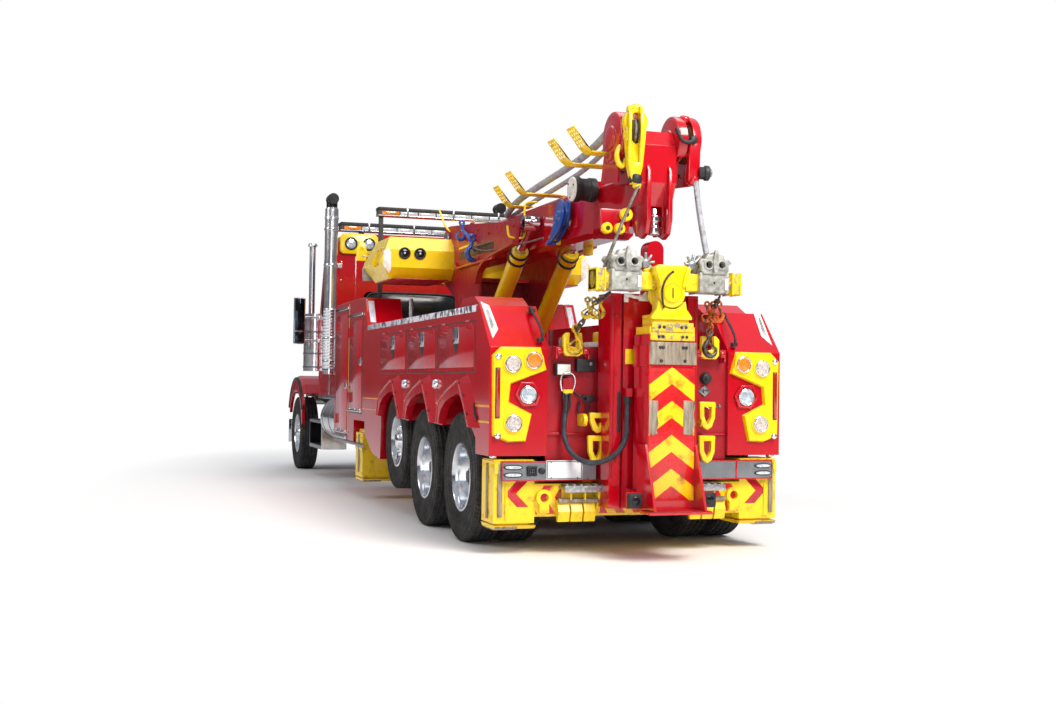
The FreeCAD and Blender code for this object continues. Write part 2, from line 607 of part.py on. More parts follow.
def hood():
    def section(x, half, top, inset):
        """The hood's section: upright sides and a rounded top edge."""
        side = f"({half} - {inset})"
        crest = f"({top} - {inset})"
        return (x, [(f"-{side}", f"hood_low - {inset}"), (side, f"hood_low - {inset}"),
                    (side, f"{crest} - 220"), (f"{side} - 35", f"{crest} - 100"),
                    (f"{side} - 100", f"{crest} - 35"), (f"{side} - 220", crest),
                    (f"-{side} + 220", crest), (f"-{side} + 100", f"{crest} - 35"),
                    (f"-{side} + 35", f"{crest} - 100"), (f"-{side}", f"{crest} - 220")])

    def arch(radius):
        """A fender's outline round the steering axle, down to the skirt behind the wheel."""
        angles = [math.radians(a) for a in range(35, 141, 15)]
        ring = [(f"front_x + ({radius}) * {math.cos(a):.4f}",
                 f"fender_z + ({radius}) * {math.sin(a):.4f}") for a in angles]
        return [("nose_x", "850"), ("nose_x", "1000")] + ring + [("8930", "1050"), ("8900", "700")]

    outer = loft("yz", [section("hood_rear", "hood_half_rear", "hood_top_rear", "0"),
                        section("nose_x - 40", "hood_half_front", "hood_top_front", "0")])
    inner = loft("yz", [section("hood_rear - 10", "hood_half_rear", "hood_top_rear", "30"),
                        section("nose_x - 20", "hood_half_front", "hood_top_front", "30")])
    nose = cut(box("nose_x - 80", "nose_x", "-620", "620", "850", "hood_top_front - 60"),
               box("nose_x - 90", "nose_x + 10", "-430", "430", "910", "hood_top_front - 120"))
    flank = fuse(prism("xz", "600", "fender_half - 60", arch("fender_top")),
                 loft("xz", [("fender_half - 60", arch("fender_top")),
                             ("fender_half", arch("fender_top - 45"))]))
    fender = cut(flank, rod("y", "fender_r", "590", "fender_half + 10", "front_x", "tyre_r"),
                 box("8800", "nose_x + 20", "590", "fender_half - 45", "600", "hood_low"))
    hinge = fuse(rod("y", 15, "rail_in + 5", "rail_in + rail_wide + 40", "hood_pin_x",
                     "hood_pin_z"),
                 box("nose_x - 30", "hood_pin_x + 20", "rail_in + rail_wide + 10",
                     "rail_in + rail_wide + 40", "hood_pin_z - 20", "900"))
    node("hood", fuse(cut(outer, inner), nose, *both(fender), *both(hinge)))
    bars = [box("nose_x - 60", "nose_x - 20", f"{y} - 6", f"{y} + 6", "910",
                "hood_top_front - 120") for y in range(-400, 401, 50)]
    node("grille", fuse(box("nose_x - 60", "nose_x - 40", "-430", "430", "1380", "1400"), *bars))


def front_end():
    blade = prism("xy", "380", "740",
                  [("bumper_front - 150", "-fender_half"), ("bumper_front - 20", "-1100"),
                   ("bumper_front", "-900"), ("bumper_front", "900"),
                   ("bumper_front - 20", "1100"), ("bumper_front - 150", "fender_half"),
                   ("bumper_front - 165", "fender_half"), ("bumper_front - 35", "1085"),
                   ("bumper_front - 15", "890"), ("bumper_front - 15", "-890"),
                   ("bumper_front - 35", "-1085"), ("bumper_front - 165", "-fender_half")])
    ties = both(box("bumper_front - 150", "bumper_front - 10", "rail_in", "rail_in + rail_wide",
                    "560", "700"))
    node("front_bumper", fuse(blade, *ties))
    stack = fuse(rod("z", 90, "1450", "3700", "stack_x", "stack_y"),
                 rod("x", 75, "stack_x - 120", "stack_x + 60", "stack_y", "3830"),
                 rod("z", 75, "3700", "3830", "stack_x", "stack_y"),
                 box("stack_x - 20", "cab_rear", "1040", "stack_y - 70", "1900", "1960"),
                 box("stack_x - 20", "cab_rear", "1040", "stack_y - 70", "2900", "2960"),
                 box("stack_x - 40", "stack_x + 40", "1000", "stack_y", "1170", "1470"))
    cleaner = fuse(rod("z", 165, "1500", "2350", "8660", "fender_half - 135"),
                   rod("z", 45, "2350", "3390", "8640", "fender_half - 75"),
                   box("cab_front", "8600", "990", "cab_half - 10", "1800", "1900"))
    node("stacks_and_cleaners", *both(stack), *both(cleaner))
    mirror = fuse(box("8440", "8500", "1290", "1450", "1900", "2570"),
                  rod("y", 15, "cab_half", "1300", "8460", "2290"),
                  rod("y", 15, "cab_half", "1300", "8460", "1950"))
    node("mirrors", *both(mirror))
    tank = fuse(rod("x", 300, "6000", "7300", "tank_y", "cab_low - 302"),
                box("6200", "6300", "rail_in + rail_wide", "tank_y - 50", "850", "950"),
                box("7000", "7100", "rail_in + rail_wide", "tank_y - 50", "850", "950"),
                box("stack_x - 40", "stack_x + 40", "tank_y - 30", "1000", "1000", "1190"))
    steps = fuse(box("7350", "8400", "850", "1200", "400", "450"),
                 box("7350", "8400", "850", "1200", "760", "800"),
                 box("7350", "7380", "850", "1200", "400", "800"),
                 box("8370", "8400", "850", "1200", "400", "800"),
                 box("7600", "7660", "rail_in + rail_wide", "1000", "780", "880"))
    node("fuel_tanks", *both(tank), *both(steps))


def light_bars():
    roof = fuse(box("7060", "7260", "-1030", "1030", "cab_top + 40", "cab_top + 150"),
                *both(box("7100", "7200", "700", "760", "cab_top", "cab_top + 50")))
    pylon = fuse(box("4950", "5100", "-950", "950", "3400", "3500"),
                 *both(box("5000", "5050", "880", "930", "locker_top", "3410")))
    node("light_bars", roof, pylon)


# ---------------------------------------------------------------- turret and boom
def ram_axis():
    """Direction, length and turn of a lift cylinder from its foot pin to its eye."""
    run = value["ram_eye_x"] - value["ram_foot_x"]
    rise = value["ram_eye_z"] - value["ram_foot_z"]
    length = math.hypot(run, rise)
    turn = FreeCAD.Rotation(FreeCAD.Vector(0, 1, 0), math.degrees(math.atan2(run, rise)))
    return length, turn


def along_ram(radius, start, end):
    """A cylinder on the left lift cylinder's axis, between two distances from its foot pin."""
    length, turn = ram_axis()
    solid = doc.addObject("Part::Cylinder", "Ram")
    solid.Radius = radius
    solid.Height = end - start
    foot = FreeCAD.Vector(value["ram_foot_x"], value["ram_y"], value["ram_foot_z"])
    offset = turn.multVec(FreeCAD.Vector(0, 0, start))
    solid.Placement = FreeCAD.Placement(foot + offset, turn)
    bind(solid, Radius=radius)
    return solid


def turret():
    cheek = prism("xz", "cheek_in", "cheek_in + cheek_thick",
                  [("2450", "ring_top + 65"), ("2420", "2400"), ("2340", "2520"),
                   ("2160", "2600"), ("1900", "2640"), ("1150", "2700"), ("1150", "2920"),
                   ("2600", "3060"), ("boom_pin_x - 100", "3140"), ("boom_pin_x + 90", "3140"),
                   ("boom_pin_x + 200", "3060"), ("boom_pin_x + 300", "2880"),
                   ("boom_pin_x + 290", "2720"), ("boom_pin_x + 180", "2520"),
                   ("3350", "2300"), ("3350", "ring_top + 65")])
    bosses = both(rod("y", 110, "cheek_in", "cheek_in + cheek_thick + 12", "boom_pin_x",
                      "boom_pin_z"))
    bores = both(rod("y", "60 + bore_play", "cheek_in - 10", "cheek_in + cheek_thick + 30",
                     "boom_pin_x", "boom_pin_z"))
    lips = both(prism("xz", "cheek_in + cheek_thick - 5", "cheek_in + cheek_thick + 40",
                      [("2420", "2400"), ("2340", "2520"), ("2160", "2600"), ("1900", "2640"),
                       ("1150", "2700"), ("1150", "2730"), ("1910", "2670"), ("2170", "2630"),
                       ("2365", "2545"), ("2450", "2410")]))
    base = rod("z", "ring_r", "ring_top + slip", "ring_top + 70", "slew_x", 0)
    floor = box("3050", "boom_pin_x + 180", "-cheek_in", "cheek_in", "2480", "2520")
    wall = box("3310", "3350", "-cheek_in", "cheek_in", "ring_top + 65", "2520")
    pins = both(rod("y", 40, "ram_y - 90", "cheek_in", "ram_foot_x", "ram_foot_z"))
    plates = fuse(*both(cheek), *bosses, *lips, base, floor, wall, *pins)
    node("turret", cut(plates, *bores))
    across = prism("yz", "cover_rear", "cover_front",
                   [("-1250", "2700"), ("-1120", "cover_low"), ("1120", "cover_low"),
                    ("1250", "2700"), ("1120", "cover_top"), ("-1120", "cover_top")])
    along = prism("xz", "-1260", "1260",
                  [("cover_rear", "cover_low + 120"), ("cover_rear", "cover_top - 150"),
                   ("cover_rear + 120", "cover_top"), ("cover_front - 100", "cover_top"),
                   ("cover_front", "cover_top - 150"), ("cover_front", "cover_low + 120"),
                   ("cover_front - 100", "cover_low"), ("cover_rear + 120", "cover_low")])
    dents = both(box("cover_rear + 160", "cover_rear + 480", "1165", "1300", "cover_low + 150",
                     "cover_top - 130"))
    slot = box("cover_rear - 10", "boom_pin_x + 330", "-cheek_in - cheek_thick",
               "cheek_in + cheek_thick", "cover_low - 10", "cover_top + 20")
    room = rod("y", "110 + slip", "-cheek_in - cheek_thick - 20", "cheek_in + cheek_thick + 20",
               "boom_pin_x", "boom_pin_z")
    node("winch_cover", cut(common(across, along), slot, room, *dents))


def boom():
    def section(grow):
        """The boom's section, its edges broken, grown or shrunk all round."""
        side = f"(boom_half + ({grow}))"
        top = f"(boom_top + ({grow}))"
        low = f"(boom_low - ({grow}))"
        return [(f"-{side}", f"{low} + 45"), (f"-{side} + 45", low), (f"{side} - 45", low),
                (side, f"{low} + 45"), (side, f"{top} - 30"), (f"{side} - 30", top),
                (f"-{side} + 30", top), (f"-{side}", f"{top} - 30")]

    outer = cut(prism("yz", "boom_rear", "boom_pin_x + 140", section("0")),
                prism("yz", "boom_rear - 10", "boom_pin_x - 360", section("-boom_wall")))
    collar = cut(prism("yz", "boom_rear", "boom_rear + 90", section("18")),
                 prism("yz", "boom_rear - 10", "boom_rear + 100", section("-boom_wall")))
    pin = rod("y", 60, "-cheek_in - cheek_thick - 12", "cheek_in + cheek_thick + 12",
              "boom_pin_x", "boom_pin_z")
    node("boom", fuse(outer, collar, pin))
    tube = prism("yz", "head_x + 200", "boom_pin_x - 1060", section("-boom_wall - slip"))
    block = prism("xz", "-boom_half + 20", "boom_half - 20",
                  [("head_x - 60", "boom_top - 300"), ("head_x + 220", "boom_top - 300"),
                   ("head_x + 220", "boom_top - 40"), ("head_x + 120", "head_z + 60"),
                   ("head_x - 80", "head_z + 60"), ("head_x - 150", "head_z - 60"),
                   ("head_x - 150", "boom_top - 120")])
    neck = rod("y", 60, "-head_y - 88", "head_y + 88", "head_x", "head_z")
    sheaves = both(turned("head_x", "head_z",
                          [("60", "head_y - 45"), ("sheave_r", "head_y - 45"),
                           ("sheave_r", "head_y - 30"), ("sheave_r - 35", "head_y - 8"),
                           ("sheave_r - 35", "head_y + 8"), ("sheave_r", "head_y + 30"),
                           ("sheave_r", "head_y + 45"), ("60", "head_y + 45")]))
    guards = []
    for y0, y1 in (("head_y - 72", "head_y - 54"), ("head_y + 54", "head_y + 72")):
        guards.append(rod("y", "sheave_r + 28", y0, y1, "head_x", "head_z"))
        guards.append(prism("xz", y0, y1, [("head_x - 120", "head_z"),
                                           ("head_x - 60", "head_z - 360"),
                                           ("head_x + 300", "head_z - 330"),
                                           ("head_x + 200", "head_z")]))
    arms = both(box("head_x + 20", "head_x + 220", "boom_half - 30", "head_y - 54",
                    "head_z - 330", "head_z - 180"))
    plates = both(prism("xz", "65", "90", [("head_x - 70", "boom_top - 150"),
                                           ("head_x - 70", "2640"), ("head_x - 20", "2560"),
                                           ("head_x + 100", "2560"), ("head_x + 180", "2660"),
                                           ("head_x + 180", "boom_top - 150")]))
    node("boom_extension", fuse(tube, block, neck, *sheaves, *both(fuse(*guards)), *arms, *plates))
    back, seat = "head_x - sheave_r - 88", "head_x - sheave_r - 28 - slip"
    hook = cut(fuse(prism("yz", back, seat,
                          [("head_y - 90", "head_z + 60"), ("head_y - 60", "head_z - 260"),
                           ("head_y - 25", "head_z - 400"), ("head_y + 25", "head_z - 400"),
                           ("head_y + 60", "head_z - 260"), ("head_y + 90", "head_z + 60")]),
                    rod("x", 100, back, seat, "head_y", "head_z + 90")),
               rod("x", 32, f"{back} - 10", f"{seat} + 10", "head_y", "head_z + 130"),
               rod("x", 24, f"{back} - 10", f"{seat} + 10", "head_y", "head_z - 60"))
    node("hook_block", hook)
    length = ram_axis()[0]
    barrel = cut(fuse(along_ram(value["ram_r"], 0, length - 380),
                      rod("y", 95, "ram_y - 80", "ram_y + 80", "ram_foot_x", "ram_foot_z")),
                 along_ram(value["rod_r"] + 1, 300, length),
                 rod("y", "40 + bore_play", "ram_y - 100", "ram_y + 110", "ram_foot_x",
                     "ram_foot_z"))
    node("lift_barrels", *both(barrel))
    shaft = cut(fuse(along_ram(value["rod_r"], 350, length - 40),
                     rod("y", 75, "ram_y - 75", "ram_y + 75", "ram_eye_x", "ram_eye_z")),
                rod("y", 40, "ram_y - 80", "ram_y + 80", "ram_eye_x", "ram_eye_z"))
    node("lift_rods", *both(shaft))


# ---------------------------------------------------------------- underlift
def underlift():
    columns = both(cut(box("mast_rear", "mast_front", "60", "380", "380", "mast_top"),
                       box("mast_rear - 10", "mast_rear + 45", "268", "290", "370",
                           "mast_top + 10")))
    tongue = fuse(box("mast_rear", "mast_rear + 140", "-70", "70", "mast_top - 80", "2440"),
                  rod("x", 70, "mast_rear", "mast_rear + 140", 0, "2440"))
    cross = box("mast_rear + 50", "mast_front", "-380", "380", "mast_top - 180", "mast_top")
    foot = box("mast_rear + 50", "wall_rear", "-380", "380", "frame_low", "frame_top")
    bridge = box("mast_rear + 50", "mast_front", "-60", "60", "380", "520")
    ears = both(cut(fuse(rod("y", 70, "arm_half + 5", "arm_half + 35", "fold_x", "fold_z"),
                         box("fold_x", "mast_rear", "arm_half + 5", "arm_half + 35",
                             "fold_z - 70", "fold_z + 70")),
                    rod("y", "40 + bore_play", "arm_half", "arm_half + 40", "fold_x", "fold_z")))
    outlet = box("mast_rear - 75", "mast_rear", "arm_half + 18", "arm_half + 68", "1262", "1330")
    node("underlift_mast", fuse(*columns, tongue, cross, foot, bridge, *ears, outlet))
    shoe = fuse(box("shoe_rear", "arm_back", "-arm_half - 60", "arm_half + 60", "376", "395"),
                box("arm_back", "arm_front - 60", "-arm_half", "arm_half", "376", "arm_low"),
                *both(prism("xz", "arm_half", "arm_half + 20",
                            [("shoe_rear", "376"), ("arm_front - 120", "376"),
                             ("arm_front - 120", "900"), ("arm_back", "900")])),
                rod("y", 40, "-arm_half - 35", "arm_half + 35", "fold_x", "fold_z"))
    tube = cut(box("arm_back", "arm_front", "-arm_half", "arm_half", "arm_low", "arm_top"),
               box("arm_back + 20", "arm_front - 20", "-arm_half + 20", "arm_half - 20",
                   "arm_low + 150", "arm_top + 10"))
    collar = cut(box("arm_back - 12", "arm_front + 8", "-arm_half - 8", "arm_half + 8",
                     "arm_top - 250", "arm_top - 85"),
                 box("arm_back + 10", "arm_front - 10", "-arm_half + 10", "arm_half - 10",
                     "arm_top - 260", "arm_top"))
    node("fold_arm", fuse(tube, shoe, collar))
    inner = fuse(box("arm_back + 20 + slip", "arm_front - 20 - slip", "-arm_half + 20 + slip",
                     "arm_half - 20 - slip", "arm_low + 300", "arm_top + 50"),
                 box("arm_back + 5", "arm_front - 5", "-190", "190", "arm_top + slip",
                     "arm_top + 60"),
                 box("arm_back + 30", "arm_front - 40", "-150", "150", "arm_top + 50",
                     "arm_top + 125"),
                 cut(fuse(box("bar_x - 50", "bar_x + 50", "-90", "90", "arm_top + 100",
                              "swivel_z"),
                          rod("x", 90, "bar_x - 50", "bar_x + 50", 0, "swivel_z")),
                     rod("x", "40 + bore_play", "bar_x - 60", "bar_x + 60", 0, "swivel_z")))
    node("stinger", inner)
    casting = [fuse(rod("x", 184, x0, x1, 0, "swivel_z"),
                    prism("yz", x0, x1, [("-150", "swivel_z"), ("150", "swivel_z"),
                                         ("115", "bar_z + 60"), ("150", "bar_z + 150"),
                                         ("120", "bar_z + 185"), ("-120", "bar_z + 185"),
                                         ("-150", "bar_z + 150"), ("-115", "bar_z + 60")]))
               for x0, x1 in (("bar_x - 130", "bar_x - 55"), ("bar_x + 55", "bar_x + 100"))]
    bridge_top = box("bar_x - 60", "bar_x + 60", "-115", "115", "swivel_z + 95 + play",
                     "bar_z + 150")
    pin = fuse(rod("x", 40, "bar_x - 130", "bar_x + 100", 0, "swivel_z"),
               rod("x", 72, "bar_x - 160", "bar_x - 120", 0, "swivel_z"))
    bars = both(rod("y", 72, "100", "bar_half", "bar_x", "bar_z"))
    sleeves = both(box("bar_x - 95", "bar_x + 95", "230", "510", "bar_z - 100", "bar_z + 95"))
    ends = both(box("bar_x - 82", "bar_x + 82", "560", "bar_half", "bar_z - 82", "bar_z + 82"))
    tops = []
    for y in (300, 440):
        plate = fuse(box("bar_x - 75", "bar_x + 75", f"{y} - 22", f"{y} + 22", "bar_z + 90",
                         "bar_z + 245"),
                     rod("y", 75, f"{y} - 22", f"{y} + 22", "bar_x", "bar_z + 245"))
        tops += both(cut(plate, rod("y", 34, f"{y} - 30", f"{y} + 30", "bar_x",
                                    "bar_z + 235")))
    node("crossbar", fuse(*casting, bridge_top, pin, *bars, *sleeves, *ends, *tops))


def rear_rigging():
    """Ring lugs and toothed claws on the rear housing's back, left and right."""
    back = "(rear_leg_x - 160)"
    ring = cut(fuse(box(f"{back} - 45", f"{back} + 5", "795", "875", "330", "450"),
                    rod("x", 66, f"{back} - 45", f"{back} - slip", "835", "450")),
               rod("x", 35, f"{back} - 50", f"{back} + 2", "835", "452"))
    teeth = [prism("xz", f"{y} - 48", f"{y} + 48",
                   [(f"{back} + 5", "310"), (f"{back} + 5", "420"), (f"{back} - 60", "420"),
                    (f"{back} - 95", "345"), (f"{back} - 70", "262"), (f"{back} - 45", "262"),
                    (f"{back} - 40", "310")]) for y in (465, 575, 685)]
    rail = box(f"{back} - 40", f"{back} + 5", "417", "733", "400", "430")
    return both(ring) + both(fuse(rail, *teeth))


def outriggers():
    """Hollow housings across the truck, sliding beams with a hollow leg, and the inner legs."""
    # name, station, half length of the housing, its underside, its top, outer side of the leg,
    # underside and top of the leg
    rows = [("rear", "rear_leg_x", "160", "300", "560", "rear_leg_out", "250", "740"),
            ("front", "front_leg_x", "200", "400", "680", "front_leg_out", "250", "760")]
    houses = []
    for name, x, half, low, high, out, leg_low, leg_high in rows:
        house = cut(box(f"{x} - {half}", f"{x} + {half}", "-leg_in + slip", "leg_in - slip", low,
                        high),
                    box(f"{x} - {half} + 12", f"{x} + {half} - 12", "-leg_in", "leg_in",
                        f"{low} + 12", f"{high} - 12"))
        ties = both(box(f"{x} - 60", f"{x} + 60", "rail_in", "rail_in + rail_wide", high,
                        "frame_low"))
        extras = rear_rigging() if name == "rear" else []
        houses.append(fuse(house, *ties, *extras))
        beam = box(f"{x} - {half} + 12 + slip", f"{x} + {half} - 12 - slip", "20", "leg_in + 40",
                   f"{low} + 12 + slip", f"{high} - 12 - slip")
        leg = cut(fuse(beam, box(f"{x} - {half}", f"{x} + {half}", "leg_in", out, leg_low,
                                 leg_high)),
                  box(f"{x} - {half} + 30", f"{x} + {half} - 30", "leg_in + 30", f"{out} - 30",
                      f"{leg_low} - 10", f"{leg_high} - 30"))
        shoe = fuse(box(f"{x} - {half} + 30 + slip", f"{x} + {half} - 30 - slip",
                        "leg_in + 30 + slip", f"{out} - 30 - slip", f"{leg_low} - 20",
                        f"{leg_high} - 60"),
                    prism("xz", "leg_in - 5", f"{out} - 5",
                          [(f"{x} - {half} - 30", f"{leg_low} - 15"),
                           (f"{x} - {half}", f"{leg_low} - 42"),
                           (f"{x} + {half}", f"{leg_low} - 42"),
                           (f"{x} + {half} + 30", f"{leg_low} - 15"),
                           (f"{x} + {half} - 20", f"{leg_low} - 15"),
                           (f"{x} - {half} + 20", f"{leg_low} - 15")]))
        for side in ("left", "right"):
            node(f"{name}_beam_{side}", leg if side == "left" else mirrored(leg))
            node(f"{name}_leg_{side}", shoe if side == "left" else mirrored(shoe))
    node("outrigger_housings", *houses)


# ---------------------------------------------------------------- air hose
# Route of the hanging air hose, from the socket on the rear wall to the mast: x, y, z.
HOSE = [(-970, 642, 1290), (-970, 642, 1215), (-975, 652, 1132), (-983, 661, 1045),
        (-990, 668, 954), (-1021, 652, 867), (-1076, 620, 796), (-1141, 570, 750),
        (-1205, 504, 734), (-1258, 429, 750), (-1294, 355, 796), (-1316, 295, 867),
        (-1325, 262, 954), (-1319, 258, 1045), (-1300, 249, 1125), (-1288, 243, 1200),
        (-1288, 243, 1262)]
HOSE_R = 21


def hose():
    """The hose's tube: straight runs joined by the largest arcs that the runs allow."""
    middle = FreeCAD.Vector(value["middle"], 0, 0)
    points = [FreeCAD.Vector(*p) - middle for p in HOSE]
    edges = []
    start = points[0]
    for before, here, after in zip(points, points[1:], points[2:]):
        come, go = here - before, after - here
        turn = come.getAngle(go)
        reach = 0.45 * min(come.Length, go.Length)
        print(f"hose radius {reach / math.tan(turn / 2):.0f} turn {math.degrees(turn):.0f}")
        first = here - come.normalize() * reach
        last = here + go.normalize() * reach
        bisector = (go - come).normalize()
        sagitta = reach / math.tan(turn / 2) * (1 / math.cos(turn / 2) - 1)
        edges.append(Part.LineSegment(start, first).toShape())
        edges.append(Part.Arc(first, here + bisector * sagitta, last).toShape())
        start = last
    edges.append(Part.LineSegment(start, points[-1]).toShape())
    path = Part.Wire(edges)
    profile = Part.Wire(Part.makeCircle(HOSE_R, points[0], points[1] - points[0]))
    tube = path.makePipeShell([profile], True, False)
    ideal = math.pi * HOSE_R ** 2 * path.Length
    print(f"hose length {path.Length:.0f}, volume against section times length",
          f"{tube.Volume / ideal:.4f}")
    whole = doc.addObject("Part::Feature", "Hose")
    whole.Shape = tube
    whole.Label = "air_hose"
    nodes.append(whole)


def write():
    """Recompute, check every object and sub-part, and write the STEP files."""
    doc.recompute()
    broken = [thing.Name for thing in doc.Objects
              if "Invalid" in thing.State or "Error" in thing.State]
    if broken:
        raise RuntimeError(f"objects failed to recompute: {broken}")
    for whole in nodes:
        shape = whole.Shape
        if shape.isNull() or not shape.isValid() or not shape.Solids:
            raise RuntimeError(f"{whole.Label} has no valid solid")
        shape.exportStep(f"parts/{whole.Label}.step")
    print(len(nodes), "sub-parts written")


chassis()
axles()
wheels()
bodies()
tail()
cab()
hood()
front_end()
light_bars()
turret()
boom()
underlift()
outriggers()
hose()
write()
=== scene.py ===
"""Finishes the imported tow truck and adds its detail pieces.

Lengths in the tables are millimetres: x is ahead of the rearmost axle, y is to the left and z is
above the ground. The function at() turns such a place into the frame's metres.
"""
import logging
import math
import re
from collections.abc import Iterable
from dataclasses import dataclass, field
from enum import Enum

import bpy
from mathutils import Matrix, Vector


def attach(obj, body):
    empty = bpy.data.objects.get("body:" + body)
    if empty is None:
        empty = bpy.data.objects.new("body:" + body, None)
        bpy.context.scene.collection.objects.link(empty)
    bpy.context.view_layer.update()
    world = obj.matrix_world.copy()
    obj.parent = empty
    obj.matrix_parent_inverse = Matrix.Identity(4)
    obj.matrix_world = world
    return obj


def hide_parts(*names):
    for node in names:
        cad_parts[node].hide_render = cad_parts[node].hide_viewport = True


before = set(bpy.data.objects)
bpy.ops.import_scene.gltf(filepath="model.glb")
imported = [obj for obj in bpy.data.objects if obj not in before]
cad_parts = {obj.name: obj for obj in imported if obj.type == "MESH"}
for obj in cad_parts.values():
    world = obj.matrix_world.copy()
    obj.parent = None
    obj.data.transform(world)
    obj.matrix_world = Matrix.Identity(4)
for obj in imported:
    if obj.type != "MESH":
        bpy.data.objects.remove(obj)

LOG = logging.getLogger("tow_truck")
Point = tuple[float, float, float]
Outline = list[tuple[float, float]]
Piece = bpy.types.Object
Tree = bpy.types.NodeTree
Socket = bpy.types.NodeSocket
AXLE_STATION = 4300.0
BEVEL_ANGLE = math.radians(38)
SMOOTH_ANGLE = math.radians(42)
AHEAD, BACK, OUT, UP = (1, 0, 0), (-1, 0, 0), (0, 1, 0), (0, 0, 1)
SIDES = (("left", 1), ("right", -1))
LAYOUT = {"yz": lambda d, a, b: (d, a, b), "xz": lambda d, a, b: (a, d, b),
          "xy": lambda d, a, b: (a, b, d)}


# ------------------------------------------------------------------ modelling
def at(x: float, y: float, z: float) -> Vector:
    """A place in millimetres from the rearmost axle, as metres in the frame."""
    return Vector(((x - AXLE_STATION) / 1000, y / 1000, z / 1000))


def deselect() -> None:
    """Leaves nothing selected, because the loader leaves the CAD nodes selected."""
    bpy.ops.object.select_all(action="DESELECT")


def focus(piece: Piece) -> None:
    """Makes one piece the only selected and the active one.

    Args:
        piece: the piece.
    """
    deselect()
    piece.select_set(True)
    bpy.context.view_layer.objects.active = piece


def settle(piece: Piece, name: str) -> Piece:
    """Names a piece and puts its place and size into its mesh.

    Args:
        piece: the piece.
        name: its name.

    Returns:
        The same piece.
    """
    focus(piece)
    bpy.ops.object.transform_apply(location=True, rotation=True, scale=True)
    piece.name = piece.data.name = name
    return piece


def modified(piece: Piece, kind: str, **settings: object) -> Piece:
    """Adds one modifier and applies it.

    Args:
        piece: the mesh piece.
        kind: the modifier's type.
        settings: the modifier's own values.

    Returns:
        The same piece.
    """
    focus(piece)
    modifier = piece.modifiers.new(kind.title(), kind)
    for key, value in settings.items():
        setattr(modifier, key, value)
    bpy.ops.object.modifier_apply(modifier=modifier.name)
    return piece


def softened(piece: Piece, edge: float, steps: int = 2) -> Piece:
    """Breaks the sharp edges by a radius in millimetres and smooths what is round.

    Args:
        piece: the mesh piece.
        edge: the radius, or 0 for none.
        steps: the rounding's segments.

    Returns:
        The same piece.
    """
    if edge:
        modified(piece, "BEVEL", width=edge / 1000, segments=steps, limit_method="ANGLE",
            angle_limit=BEVEL_ANGLE)
    focus(piece)
    bpy.ops.object.shade_smooth_by_angle(angle=SMOOTH_ANGLE)
    return piece


def outward(doubles: float = 1e-6) -> None:
    """In edit mode: merges doubles, drops loose edges and turns the faces outwards.

    Args:
        doubles: how near two vertices are merged, in metres.
    """
    bpy.ops.mesh.select_all(action="SELECT")
    bpy.ops.mesh.remove_doubles(threshold=doubles)
    bpy.ops.mesh.delete_loose()
    bpy.ops.mesh.select_all(action="SELECT")
    bpy.ops.mesh.normals_make_consistent(inside=False)


def block(name: str, x: tuple[float, float], y: tuple[float, float], z: tuple[float, float],
        edge: float = 3.0) -> Piece:
    """A block between two stations each way, its edges rounded.

    Args:
        name: the piece's name.
        x: where it starts and ends along the truck.
        y: the same across it.
        z: the same in height.
        edge: rounding of its edges.

    Returns:
        The piece.
    """
    low, high = at(x[0], y[0], z[0]), at(x[1], y[1], z[1])
    deselect()
    bpy.ops.mesh.primitive_cube_add(size=1, location=(low + high) / 2)
    piece = bpy.context.object
    piece.scale = high - low
    return softened(settle(piece, name), edge)


def bar(name: str, start: Point, end: Point, radius: float, tip: float | None = None, edge: float = 2.0,
        sides: int = 32) -> Piece:
    """A round bar between two places.

    Args:
        name: the piece's name.
        start: centre of the first end.
        end: centre of the last end.
        radius: radius at the first end.
        tip: radius at the last end, where it differs.
        edge: rounding of its rims.
        sides: faces round it.

    Returns:
        The piece.
    """
    first, last = at(*start), at(*end)
    axis = last - first
    deselect()
    bpy.ops.mesh.primitive_cone_add(vertices=sides, radius1=radius / 1000,
        radius2=(radius if tip is None else tip) / 1000, depth=axis.length, location=(first + last) / 2,
        rotation=axis.to_track_quat("Z", "X").to_euler())
    return softened(settle(bpy.context.object, name), edge)


def turned(name: str, centre: Point, axis: Point, profile: Outline, steps: int = 48,
        edge: float = 0.0) -> Piece:
    """A turned piece.

    Args:
        name: the piece's name.
        centre: the place of the profile's origin.
        axis: direction of the turning axis.
        profile: closed outline of (radius, distance along the axis).
        steps: faces round it.
        edge: rounding of its sharp rims.

    Returns:
        The piece.
    """
    deselect()
    bpy.ops.mesh.primitive_circle_add(vertices=len(profile), fill_type="NOTHING")
    piece = bpy.context.object
    for vertex, (radius, along) in zip(piece.data.vertices, profile):
        vertex.co = (radius / 1000, 0, along / 1000)
    bpy.ops.object.mode_set(mode="EDIT")
    bpy.ops.mesh.select_all(action="SELECT")
    bpy.ops.mesh.spin(steps=steps, angle=math.tau, center=(0, 0, 0), axis=UP)
    outward(1e-5)
    bpy.ops.object.mode_set(mode="OBJECT")
    piece.location = at(*centre)
    piece.rotation_euler = Vector(axis).to_track_quat("Z", "X").to_euler()
    return softened(settle(piece, name), edge)


